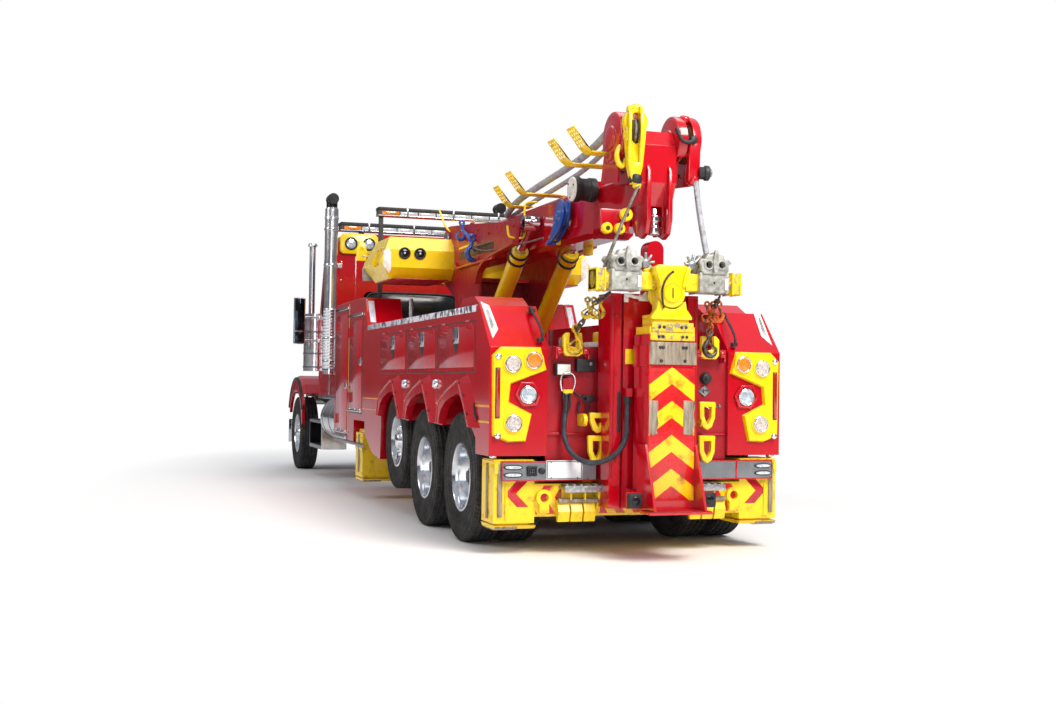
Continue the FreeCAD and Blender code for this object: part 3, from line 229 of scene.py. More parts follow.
def plate(name: str, plane: str, outline: Outline, low: float, high: float, edge: float = 3.0) -> Piece:
    """A plate cut to an outline.

    Args:
        name: the piece's name.
        plane: "yz", "xz" or "xy", the plane that the outline lies in.
        outline: its corners in that plane.
        low: where it starts across the plane.
        high: where it ends.
        edge: rounding of its edges.

    Returns:
        The piece.
    """
    deselect()
    bpy.ops.mesh.primitive_circle_add(vertices=len(outline), fill_type="NGON")
    piece = bpy.context.object
    for vertex, (a, b) in zip(piece.data.vertices, outline):
        vertex.co = at(*LAYOUT[plane](low, a, b))
    piece.location = (0, 0, 0)
    shift = at(*LAYOUT[plane](high, 0, 0)) - at(*LAYOUT[plane](low, 0, 0))
    bpy.ops.object.mode_set(mode="EDIT")
    bpy.ops.mesh.select_all(action="SELECT")
    bpy.ops.mesh.extrude_region_move(TRANSFORM_OT_translate={"value": shift})
    outward()
    bpy.ops.object.mode_set(mode="OBJECT")
    return softened(settle(piece, name), edge)


def bent(name: str, points: list[Point], radius: float, closed: bool = False, smooth: bool = True,
        radii: list[float] | None = None) -> Piece:
    """A rod or tube bent along points.

    Args:
        name: the piece's name.
        points: its path.
        radius: its radius.
        closed: whether it is a ring.
        smooth: whether it bends gently, or has sharp corners.
        radii: share of the radius at each point, where it varies.

    Returns:
        The piece.
    """
    curve = bpy.data.curves.new(name, "CURVE")
    curve.dimensions = "3D"
    spline = curve.splines.new("NURBS" if smooth else "POLY")
    spline.points.add(len(points) - 1)
    for spot, place, share in zip(spline.points, points, radii or [1.0] * len(points)):
        spot.co = (*at(*place), 1)
        spot.radius = share
    if smooth:
        spline.order_u = 3
        spline.use_endpoint_u = not closed
    spline.use_cyclic_u = closed
    curve.resolution_u = 5
    curve.bevel_depth = radius / 1000
    curve.bevel_resolution = 3
    curve.use_fill_caps = not closed
    piece = bpy.data.objects.new(name, curve)
    bpy.context.collection.objects.link(piece)
    focus(piece)
    bpy.ops.object.convert(target="MESH")
    return softened(settle(bpy.context.object, name), 0)


def copied(piece: Piece, name: str, shift: Point = (0, 0, 0), mirror: bool = False,
        turn: Matrix | None = None) -> Piece:
    """A copy with its own mesh.

    Args:
        piece: what is copied.
        name: the copy's name.
        shift: how far it moves, in millimetres.
        mirror: whether it is mirrored to the other side of the truck.
        turn: a matrix that it is turned by, in the frame's metres.

    Returns:
        The copy.
    """
    focus(piece)
    bpy.ops.object.duplicate()
    twin = bpy.context.object
    if turn is not None:
        twin.data.transform(turn)
    twin.data.transform(Matrix.Translation(Vector(shift) / 1000))
    if mirror:
        twin.data.transform(Matrix.Scale(-1, 4, OUT))
        twin.data.flip_normals()
    twin.name = twin.data.name = name
    return twin


def joined(name: str, pieces: list[Piece]) -> Piece:
    """Several meshes made one piece.

    Args:
        name: the piece's name.
        pieces: the meshes.

    Returns:
        The piece.
    """
    focus(pieces[0])
    for piece in pieces[1:]:
        piece.select_set(True)
    bpy.ops.object.join()
    piece = bpy.context.object
    piece.name = piece.data.name = name
    return piece


def ringed(piece: Piece, name: str, centre: Point, axis: Point, count: int) -> Piece:
    """A piece repeated round an axis, as one mesh.

    Args:
        piece: the first one.
        name: the whole's name.
        centre: a place on the axis.
        axis: its direction.
        count: how many there are.

    Returns:
        The whole ring.
    """
    middle = at(*centre)
    copies = [piece]
    for number in range(1, count):
        turn = (Matrix.Translation(middle) @ Matrix.Rotation(math.tau * number / count, 4, Vector(axis))
            @ Matrix.Translation(-middle))
        copies.append(copied(piece, name, turn=turn))
    return joined(name, copies)


def pierced(piece: Piece, cutters: list[Piece]) -> Piece:
    """A piece with the cutters' shapes taken out of it.

    Args:
        piece: the piece.
        cutters: the shapes.

    Returns:
        The same piece.
    """
    tool = joined("cutter", cutters)
    modified(piece, "BOOLEAN", operation="DIFFERENCE", object=tool, solver="EXACT")
    bpy.data.objects.remove(tool)
    return softened(piece, 0)


def bolt(name: str, place: Point, axis: Point, across: float = 12.0, high: float = 8.0) -> Piece:
    """A hexagon head on its washer."""
    return turned(name, place, axis, [(0, 0), (across, 0), (across, 2), (across * 0.78, 2),
        (across * 0.78, high), (across * 0.6, high + 1.5), (0, high + 1.5)], steps=6)


def arc(across: float, up: float, radius: float, angles: Iterable[float]) -> Outline:
    """Places on a circle, at angles in degrees."""
    return [(across + radius * math.cos(math.radians(t)), up + radius * math.sin(math.radians(t)))
        for t in angles]


# ------------------------------------------------------------------ finishes
def linear(code: str) -> tuple[float, float, float, float]:
    """An sRGB hex colour as linear values."""
    parts = [int(code[i:i + 2], 16) / 255 for i in (1, 3, 5)]
    return (*[p / 12.92 if p <= 0.04045 else ((p + 0.055) / 1.055) ** 2.4 for p in parts], 1.0)


def add(tree: Tree, kind: str, values: dict | None = None, links: dict | None = None,
        **settings: object) -> bpy.types.Node:
    """Adds a node.

    Args:
        tree: the material's node tree.
        kind: the node's type.
        values: input name or number to value.
        links: input name or number to the socket that feeds it.
        settings: the node's own attributes.

    Returns:
        The node.
    """
    made = tree.nodes.new(kind)
    for key, value in settings.items():
        setattr(made, key, value)
    for key, value in (values or {}).items():
        made.inputs[key].default_value = value
    for key, socket in (links or {}).items():
        tree.links.new(socket, made.inputs[key])
    return made


@dataclass(frozen=True)
class Finish:
    """A surface: its colour, the patches on it, its gloss and its relief.

    Sizes are millimetres. A streak under 1 draws the patches out in height. The share is how
    much of the surface the patches take.
    """

    name: str
    colour: str
    patch: str
    patch_size: float = 180.0
    share: float = 0.35
    softness: float = 0.25
    rough: float = 0.4
    rough_swing: float = 0.08
    metallic: float = 0.0
    coat: float = 0.0
    grain: float = 3.0
    relief: float = 0.05
    ior: float = 1.5
    glow: float = 0.0
    rounding: float = 0.0
    streak: float = 1.0

    def material(self) -> bpy.types.Material:
        """Builds the node tree: colour, gloss and relief into one shader.

        Returns:
            The material.
        """
        made = bpy.data.materials.new(self.name)
        made.use_nodes = True
        tree = made.node_tree
        tree.nodes.clear()
        place = add(tree, "ShaderNodeTexCoord").outputs["Object"]
        colour = self.paint(tree, place)
        swing = add(tree, "ShaderNodeTexNoise", {"Scale": 2600 / self.patch_size, "Detail": 6},
            {"Vector": place})
        rough = add(tree, "ShaderNodeMapRange", {1: 0.3, 2: 0.7, 3: max(self.rough - self.rough_swing,
            0.02), 4: self.rough + self.rough_swing}, {0: swing.outputs["Fac"]})
        links = {"Base Color": colour, "Roughness": rough.outputs[0], "Normal": self.surface(tree, place)}
        metal = self.metal(tree, place)
        if metal:
            links["Metallic"] = metal
        shader = add(tree, "ShaderNodeBsdfPrincipled", {"Metallic": self.metallic, "IOR": self.ior,
            "Coat Weight": self.coat, "Coat Roughness": 0.04, "Emission Color": linear(self.colour),
            "Emission Strength": self.glow}, links)
        add(tree, "ShaderNodeOutputMaterial", links={"Surface": shader.outputs[0]})
        return made

    def paint(self, tree: Tree, place: Socket) -> Socket:
        """The colour: the patches are mixed in where a noise is high.

        Args:
            tree: the material's node tree.
            place: the socket with the place on the piece.

        Returns:
            The colour's socket.
        """
        drawn = add(tree, "ShaderNodeVectorMath", {1: (1, 1, self.streak)}, {0: place},
            operation="MULTIPLY").outputs[0]
        noise = add(tree, "ShaderNodeTexNoise", {"Scale": 1000 / self.patch_size, "Detail": 8,
            "Roughness": 0.62}, {"Vector": drawn})
        middle = 0.66 - 0.32 * self.share
        mask = add(tree, "ShaderNodeMapRange", {1: middle - self.softness / 2, 2: middle
            + self.softness / 2}, {0: noise.outputs["Fac"]})
        mixed = add(tree, "ShaderNodeMix", {6: linear(self.colour), 7: linear(self.patch)},
            {0: mask.outputs[0]}, data_type="RGBA")
        under = self.base(tree, place)
        if under:
            tree.links.new(under, mixed.inputs[6])
        return mixed.outputs[2]

    def base(self, tree: Tree, place: Socket) -> Socket | None:
        """A pattern under the patches, where the finish has one."""
        return None

    def metal(self, tree: Tree, place: Socket) -> Socket | None:
        """Where the surface is bare metal, for a finish that is only partly so."""
        return None

    def height(self, tree: Tree, place: Socket) -> Socket:
        """The relief's height, from 0 to 1."""
        return add(tree, "ShaderNodeTexNoise", {"Scale": 1000 / self.grain, "Detail": 3},
            {"Vector": place}).outputs["Fac"]

    def surface(self, tree: Tree, place: Socket) -> Socket:
        """The normal: relief, over edges that look rounded where the CAD leaves them sharp.

        Args:
            tree: the material's node tree.
            place: the socket with the place on the piece.

        Returns:
            The normal's socket.
        """
        bump = add(tree, "ShaderNodeBump", {"Distance": self.relief / 1000, "Strength": 1.0},
            {"Height": self.height(tree, place)})
        if self.rounding:
            edge = add(tree, "ShaderNodeBevel", {"Radius": self.rounding / 1000}, samples=4)
            tree.links.new(edge.outputs[0], bump.inputs["Normal"])
        return bump.outputs[0]


class Pointing(Enum):
    """Which way the arrows of a chevron tape point."""

    UP = "up"
    OUT = "out"


@dataclass(frozen=True)
class Chevrons(Finish):
    """Printed reflective tape with arrow bands in a second colour."""

    second: str = "#FFFFFF"
    pointing: Pointing = Pointing.UP
    pitch: float = 200.0
    lean: float = 1.0
    centre: float = 0.0
    start: float = 0.0

    def base(self, tree: Tree, place: Socket) -> Socket:
        """Bands of equal width, broken at the tape's middle line.

        Args:
            tree: the material's node tree.
            place: the socket with the place on the piece.

        Returns:
            The colour's socket.
        """
        axes = add(tree, "ShaderNodeSeparateXYZ", links={0: place}).outputs
        if self.pointing is Pointing.UP:
            main, cross = axes["Z"], axes["Y"]
        else:
            main = add(tree, "ShaderNodeMath", links={0: axes["Y"]}, operation="ABSOLUTE").outputs[0]
            cross = axes["Z"]
        shifted = add(tree, "ShaderNodeMath", {1: self.centre / 1000}, {0: cross},
            operation="SUBTRACT").outputs[0]
        away = add(tree, "ShaderNodeMath", links={0: shifted}, operation="ABSOLUTE").outputs[0]
        line = add(tree, "ShaderNodeMath", {1: self.lean}, {0: away, 2: main},
            operation="MULTIPLY_ADD").outputs[0]
        turns = add(tree, "ShaderNodeMath", {1: 1000 / self.pitch, 2: self.start}, {0: line},
            operation="MULTIPLY_ADD").outputs[0]
        part = add(tree, "ShaderNodeMath", links={0: turns}, operation="FRACT").outputs[0]
        band = add(tree, "ShaderNodeMath", {1: 0.5}, {0: part}, operation="GREATER_THAN").outputs[0]
        return add(tree, "ShaderNodeMix", {6: linear(self.colour), 7: linear(self.second)}, {0: band},
            data_type="RGBA").outputs[2]


@dataclass(frozen=True)
class Ribbed(Finish):
    """A surface with rows across it: rolled tread, a rope's lay or a hose's wrap."""

    pitch: float = 20.0
    slope: Point = (1.0, 1.0, 0.0)
    crossed: bool = False

    def row(self, tree: Tree, place: Socket, slope: Point) -> Socket:
        """A sine wave across one direction.

        Args:
            tree: the material's node tree.
            place: the socket with the place on the piece.
            slope: the direction.

        Returns:
            The wave's socket.
        """
        along = add(tree, "ShaderNodeVectorMath", {1: slope}, {0: place},
            operation="DOT_PRODUCT").outputs["Value"]
        phase = add(tree, "ShaderNodeMath", {1: math.tau * 1000 / self.pitch}, {0: along},
            operation="MULTIPLY").outputs[0]
        return add(tree, "ShaderNodeMath", links={0: phase}, operation="SINE").outputs[0]

    def height(self, tree: Tree, place: Socket) -> Socket:
        """Rows, or lozenges where two sets of rows cross.

        Args:
            tree: the material's node tree.
            place: the socket with the place on the piece.

        Returns:
            The height's socket.
        """
        first = self.row(tree, place, self.slope)
        if self.crossed:
            x, y, z = self.slope
            second = self.row(tree, place, (x, -y, -z))
            first = add(tree, "ShaderNodeMath", links={0: first, 1: second},
                operation="MULTIPLY").outputs[0]
        return add(tree, "ShaderNodeMapRange", {1: -1.0, 2: 1.0}, {0: first}).outputs[0]


@dataclass(frozen=True)
class Capped(Finish):
    """A metal that is coated black beyond a place on one axis."""

    limit: float = 3715.0
    axis: str = "Z"
    cap: str = "#0B0C0F"

    def beyond(self, tree: Tree, place: Socket, first: float, last: float) -> Socket:
        """A value that goes from first to last across the limit.

        Args:
            tree: the material's node tree.
            place: the socket with the place on the piece.
            first: the value before the limit.
            last: the value beyond it.

        Returns:
            The value's socket.
        """
        along = add(tree, "ShaderNodeSeparateXYZ", links={0: place}).outputs[self.axis]
        return add(tree, "ShaderNodeMapRange", {1: (self.limit - 6) / 1000, 2: (self.limit + 6) / 1000,
            3: first, 4: last}, {0: along}).outputs[0]

    def base(self, tree: Tree, place: Socket) -> Socket:
        """The metal's colour below the limit and black above it."""
        return add(tree, "ShaderNodeMix", {6: linear(self.colour), 7: linear(self.cap)},
            {0: self.beyond(tree, place, 0.0, 1.0)}, data_type="RGBA").outputs[2]

    def metal(self, tree: Tree, place: Socket) -> Socket:
        """Metal below the limit and paint above it."""
        return self.beyond(tree, place, self.metallic, 0.0)


@dataclass(frozen=True)
class Spangled(Finish):
    """Hot-dip zinc: a mosaic of lighter and darker crystals."""

    spangle: float = 14.0
    bright: str = "#C9CCCE"

    def base(self, tree: Tree, place: Socket) -> Socket:
        """Each crystal has its own grey.

        Args:
            tree: the material's node tree.
            place: the socket with the place on the piece.

        Returns:
            The colour's socket.
        """
        cells = add(tree, "ShaderNodeTexVoronoi", {"Scale": 1000 / self.spangle}, {"Vector": place})
        grey = add(tree, "ShaderNodeSeparateColor", links={0: cells.outputs["Color"]})
        return add(tree, "ShaderNodeMix", {6: linear(self.colour), 7: linear(self.bright)},
            {0: grey.outputs[0]}, data_type="RGBA").outputs[2]


class Coat(Enum):
    """The truck's finishes."""

    # Two-pack red enamel: a wet clear coat, a faint orange peel and a film of road dust.
    RED = Finish("two_pack_enamel_red", "#BE0518", "#A20419", 900, 0.3, 0.5, 0.15, 0.03, coat=0.4, grain=60,
        relief=0.004, rounding=4)
    # The same enamel dulled by dust: deck, turret, mast guides, hinges and painted bolts.
    RED_DUSTY = Finish("two_pack_enamel_red_dusty", "#AE0719", "#8A1220", 300, 0.4, 0.5, 0.36, 0.1, grain=8,
        relief=0.02, rounding=4)
    # Chrome-yellow enamel, glossy where nobody treads.
    YELLOW = Finish("two_pack_enamel_yellow", "#F6D505", "#E3BC06", 500, 0.3, 0.5, 0.28, 0.07, coat=0.4,
        grain=8, relief=0.04, rounding=6)
    # Yellow enamel on working faces: grime in the hollows, scuffed edges.
    YELLOW_WORN = Finish("scuffed_enamel_yellow", "#F0CB08", "#A58A22", 120, 0.12, 0.16, 0.42, 0.12,
        coat=0.25, grain=4, relief=0.12, rounding=5)
    # Yellow left in flakes on bare steel: hard-edged chips.
    YELLOW_CHIPPED = Finish("chipped_enamel_yellow", "#DDBB12", "#8F816A", 42, 0.4, 0.08, 0.5, 0.15,
        coat=0.1, grain=3, relief=0.3, rounding=4)
    # Bolted wear plates: dull ground steel with rust runs and red left in the scratches.
    WORN_STEEL = Finish("scraped_steel", "#A49A88", "#6C5546", 26, 0.36, 0.3, 0.5, 0.14, metallic=0.4,
        grain=2.5, relief=0.25, rounding=4, streak=0.16)
    # Cast receivers: matt white-grey primer with oil stains.
    CAST_GREY = Finish("primed_cast_steel", "#B4B6B0", "#6F6C64", 60, 0.36, 0.3, 0.5, 0.1, metallic=0.25,
        grain=3, relief=0.35, rounding=5)
    # Galvanised sheet and bar: crystal mosaic, soft sheen.
    ZINC = Spangled("hot_dip_galvanised_steel", "#8E9396", "#6E7274", 70, 0.2, 0.3, 0.38, 0.1,
        metallic=0.85, grain=10, relief=0.05, rounding=4)
    # Brushed stainless bumper: long low-contrast streaks, satin.
    STAINLESS = Finish("brushed_stainless", "#9B9EA2", "#7F8286", 260, 0.4, 0.4, 0.3, 0.08, metallic=0.95,
        grain=1.6, relief=0.02, rounding=4)
    # Bright chrome plating: mirror with faint haze.
    CHROME = Finish("chrome_plate", "#E4E7EA", "#C9CED3", 300, 0.3, 0.5, 0.07, 0.03, metallic=1.0, grain=30,
        relief=0.02, rounding=5)
    # Chromed stacks whose elbows are coated with black heat paint.
    STACK = Capped("chromed_stack_black_elbow", "#F4F5F6", "#E2E5E8", 300, 0.0, 0.01, 0.2, 0.04,
        metallic=1.0, grain=30, relief=0.02, rounding=5)
    # Polished tanks with black powder-coated steps ahead of them.
    TANKS = Capped("polished_tank_black_steps", "#E6E8EA", "#D2D5D8", 300, 0.0, 0.01, 0.16, 0.05,
        metallic=1.0, grain=30, relief=0.03, rounding=4, limit=3082.0, axis="X")
    # Trim strip along the rails: white tape broken by dark scallops.
    SCALLOP = Finish("scalloped_rail_trim", "#E7E5EE", "#3B3840", 52, 0.44, 0.06, 0.35, 0.06, coat=0.3,
        grain=3, relief=0.1, streak=0.7)
    # Polished forged aluminium: mirror with a fine turned haze.
    ALUMINIUM = Finish("polished_forged_aluminium", "#DDE0E4", "#A9AEB4", 120, 0.3, 0.4, 0.16, 0.06,
        metallic=1.0, grain=4, relief=0.02, rounding=3)
    # Tread plate: lozenges 24 mm apart catch the light in rows.
    TREAD = Ribbed("aluminium_tread_plate", "#D5D7DA", "#85888D", 60, 0.3, 0.3, 0.25, 0.08, metallic=0.95,
        relief=1.6, pitch=34, slope=(1.0, 1.0, 1.0), crossed=True)
    # Chassis black: satin paint under road dust.
    CHASSIS = Finish("chassis_black_enamel", "#14161A", "#3A3733", 220, 0.4, 0.4, 0.45, 0.12, coat=0.2,
        grain=4, relief=0.1, rounding=5)
    # Cast iron running gear: rough, oily, dusty.
    CAST_IRON = Finish("oily_cast_iron", "#2A2B2E", "#4C463F", 110, 0.4, 0.3, 0.6, 0.12, metallic=0.4,
        grain=2.5, relief=0.5, rounding=5)
    # Black rubber and moulded plastic: matt with a fine grain.
    RUBBER = Finish("moulded_black_rubber", "#101114", "#26272B", 70, 0.3, 0.4, 0.55, 0.1, grain=2,
        relief=0.12, ior=1.52)
    # Tyre rubber: dust-grey in the tread, darker on the walls.
    TYRE = Finish("tyre_rubber", "#1B1C1F", "#45433F", 140, 0.42, 0.4, 0.72, 0.1, grain=2.2, relief=0.2,
        ior=1.52)
    # Spiral-wrapped hose: rows 17 mm apart where it hangs, on blue-black nylon.
    HOSE = Ribbed("spiral_wrapped_hose", "#20262F", "#3A4450", 50, 0.35, 0.3, 0.5, 0.1, relief=1.6,
        pitch=17, slope=(0.55, 0.55, 1.0))
    # Grey spiral guard over the boom's hoses.
    GUARD = Ribbed("grey_spiral_guard", "#ABADB3", "#7C7E86", 50, 0.35, 0.3, 0.5, 0.1, relief=2.0, pitch=22,
        slope=(1.0, 0.2, -0.2))
    # Steel wire rope: slanting strands 15 mm apart, greasy grey-brown.
    ROPE = Ribbed("galvanised_wire_rope", "#8D857B", "#4F463C", 40, 0.4, 0.3, 0.45, 0.1, metallic=0.6,
        relief=1.4, pitch=15, slope=(0.5, 0.9, 1.0))
    # Rope wound on the drum: rows 19 mm apart, rusty brown.
    WOUND = Ribbed("rope_on_drum", "#6E4B35", "#2E211A", 60, 0.4, 0.3, 0.5, 0.1, metallic=0.4, relief=4.0,
        pitch=19, slope=(0.0, 1.0, 0.0))
    # Forged chain and hooks under yellow lacquer, chipped where they rub.
    CHAIN_YELLOW = Finish("chain_lacquer_yellow", "#E3B60A", "#6B5A2A", 30, 0.42, 0.12, 0.45, 0.1, grain=2,
        relief=0.2, rounding=2)
    # The same lacquer in the orange of the right side's chains.
    CHAIN_ORANGE = Finish("chain_lacquer_orange", "#E0690A", "#5E4026", 30, 0.42, 0.12, 0.45, 0.1, grain=2,
        relief=0.2, rounding=2)
    # Bare quenched chain: dark oily steel with brown in the hollows.
    CHAIN_STEEL = Finish("quenched_chain_steel", "#6D6A66", "#453A30", 30, 0.4, 0.2, 0.42, 0.1,
        metallic=0.8, grain=2, relief=0.15)
    # Blue lacquer of hand tackle: wet gloss over a cast face.
    BLUE = Finish("blue_tool_lacquer", "#1C4FA8", "#133572", 60, 0.3, 0.2, 0.35, 0.08, coat=0.4, grain=3,
        relief=0.1, rounding=3)
    # White moulded plastic and painted labels: satin, a little yellowed.
    WHITE = Finish("white_moulded_plastic", "#E6E4DD", "#B9B4A6", 80, 0.3, 0.3, 0.45, 0.08, grain=3,
        relief=0.05, rounding=3)
    # Number plate: white sheet with a faint pressed border.
    PLATE = Finish("white_reflective_sheet", "#E9ECEE", "#CDD3D8", 90, 0.3, 0.5, 0.35, 0.05, grain=1.5,
        relief=0.02)
    # Pale strips: white tape that throws light back.
    STRIP = Finish("prismatic_white_tape", "#E3E8F2", "#AEB9D6", 40, 0.4, 0.3, 0.3, 0.08, coat=0.6, grain=3,
        relief=0.05)
    # Gold vinyl pinstripe: smooth and glossy.
    STRIPE = Finish("gold_vinyl_line", "#F0A61A", "#D98E14", 200, 0.3, 0.4, 0.35, 0.05, coat=0.4, grain=4,
        relief=0.02)
    # Moulded acrylic lenses: deep colour under a hard gloss, with fine prisms.
    LENS_RED = Finish("red_lens", "#B5060C", "#7E0408", 20, 0.4, 0.3, 0.12, 0.04, coat=1.0, grain=6,
        relief=0.4, ior=1.58)
    LENS_AMBER = Finish("amber_lens", "#F08A0C", "#C96A08", 24, 0.4, 0.3, 0.12, 0.04, coat=1.0, grain=6,
        relief=0.4, ior=1.58)
    # Clear lens in front of a bright dish, and the warmer one of the tail lamps.
    LENS_CLEAR = Finish("clear_lens_on_reflector", "#DCE6EE", "#8FA5B5", 26, 0.42, 0.3, 0.08, 0.04,
        metallic=0.35, coat=1.0, grain=7, relief=0.5, ior=1.58)
    LENS_WARM = Finish("prismatic_white_lens", "#D9CFC6", "#94807A", 20, 0.4, 0.25, 0.12, 0.04, coat=1.0,
        grain=5, relief=0.5, ior=1.58)
    # Rows of white diodes behind a clear cover.
    LED = Finish("white_led_bar", "#D3D8DE", "#8E959E", 22, 0.4, 0.3, 0.2, 0.05, coat=1.0, grain=4,
        relief=0.3, glow=0.05)
    # Tinted float glass, near black from outside.
    GLASS = Finish("tinted_cab_glass", "#0B0D10", "#1A1F24", 400, 0.3, 0.5, 0.12, 0.03, grain=60,
        relief=0.03, ior=1.45)
    # Mirror glass whose dark colour is a painted reflection of a dark surround.
    MIRROR = Finish("dark_mirror_glass", "#2E3640", "#171B20", 260, 0.4, 0.5, 0.04, 0.02, metallic=0.9,
        grain=60, relief=0.02)
    # Grained vinyl of seats and panels: matt.
    TRIM = Finish("cab_trim_vinyl", "#25262A", "#333439", 120, 0.3, 0.4, 0.6, 0.1, grain=2, relief=0.15)
    # Red and yellow tape with the arrows pointing up, on the folded arm.
    ARM_TAPE = Chevrons("reflective_chevrons_up", "#C40A12", "#8A1410", 120, 0.12, 0.2, 0.32, 0.08,
        coat=0.4, grain=3, relief=0.04, second="#F2C510", pitch=262, lean=0.72, start=0.28)
    # The same tape with the arrows pointing outwards, across the rear housing.
    BAR_TAPE = Chevrons("reflective_chevrons_out", "#F0C40C", "#A98A1C", 90, 0.14, 0.2, 0.34, 0.08,
        coat=0.4, grain=3, relief=0.04, second="#C40A12", pointing=Pointing.OUT, pitch=150, lean=0.62,
        centre=452, start=0.1)


Parts = list[tuple[Piece, Coat]]
MATERIALS: dict[Coat, bpy.types.Material] = {}


def finish(coat: Coat) -> bpy.types.Material:
    """The material of a finish, built once.

    Args:
        coat: the finish.

    Returns:
        Its material.
    """
    if coat not in MATERIALS:
        MATERIALS[coat] = coat.value.material()
    return MATERIALS[coat]


NODE_COATS = {
    Coat.RED: ["side_bodies", "cab_shell", "underlift_mast", "hood", "boom", "boom_extension",
               "fold_arm", "cab_door_left", "cab_door_right"],
    Coat.RED_DUSTY: ["turret", "deck"],
    Coat.YELLOW: ["lamp_panels", "winch_cover", "hook_block", "lift_barrels", "stinger"],
    Coat.YELLOW_WORN: ["crossbar", "outrigger_housings", "tow_lugs"],
    Coat.CHASSIS: ["chassis_frame", "axles", "light_bars"],
    Coat.CAST_IRON: ["engine", "knuckle_left", "knuckle_right"],
    Coat.STAINLESS: ["rear_bumper"],
    Coat.CHROME: ["front_bumper", "mirrors", "lift_rods", "grille"],
    Coat.STACK: ["stacks_and_cleaners"],
    Coat.TANKS: ["fuel_tanks"],
    Coat.TRIM: ["cab_interior"],
}
PREFIX_COATS = {
    "lift_door": Coat.RED, "tall_door": Coat.RED, "front_beam": Coat.YELLOW_WORN,
    "rear_beam": Coat.YELLOW_WORN, "front_leg": Coat.YELLOW_WORN, "rear_leg": Coat.YELLOW_WORN,
}


def coat_nodes() -> None:
    """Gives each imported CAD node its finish."""
    chosen = {node: coat for coat, nodes in NODE_COATS.items() for node in nodes}
    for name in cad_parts:
        coat = chosen.get(name)
        for prefix, other in PREFIX_COATS.items():
            if name.startswith(prefix):
                coat = other
        if coat is None:
            continue
        piece = bpy.data.objects[name]
        for place in piece.material_slots:
            place.material = finish(coat)
        LOG.info("node %s: %s", name, coat.value.name)


@dataclass
class Assembly:
    """A group of detail pieces."""

    body: str = "root"
    made: list[Piece] = field(default_factory=list)

    def dress(self, piece: Piece, coat: Coat, body: str | None = None) -> None:
        """Gives a piece its finish and the body that carries it.

        Args:
            piece: the piece.
            coat: its finish.
            body: the body, where it isn't the assembly's own.
        """
        piece.data.materials.clear()
        piece.data.materials.append(finish(coat))
        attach(piece, body or self.body)
        self.made.append(piece)
        LOG.info("%s: %d faces on %s", piece.name, len(piece.data.polygons), body or self.body)

    def pair(self, piece: Piece, coat: Coat, body: str | None = None) -> None:
        """Dresses a left-hand piece and its mirror image on the right.

        Args:
            piece: the left-hand piece.
            coat: the finish of both.
            body: the left-hand body, where it isn't the assembly's own.
        """
        other = re.sub(r"_left(?=_|$)", "_right", body) if body else None
        twin = copied(piece, piece.name.replace("_left", "") + "_right", mirror=True)
        self.dress(piece, coat, body)
        self.dress(twin, coat, other)


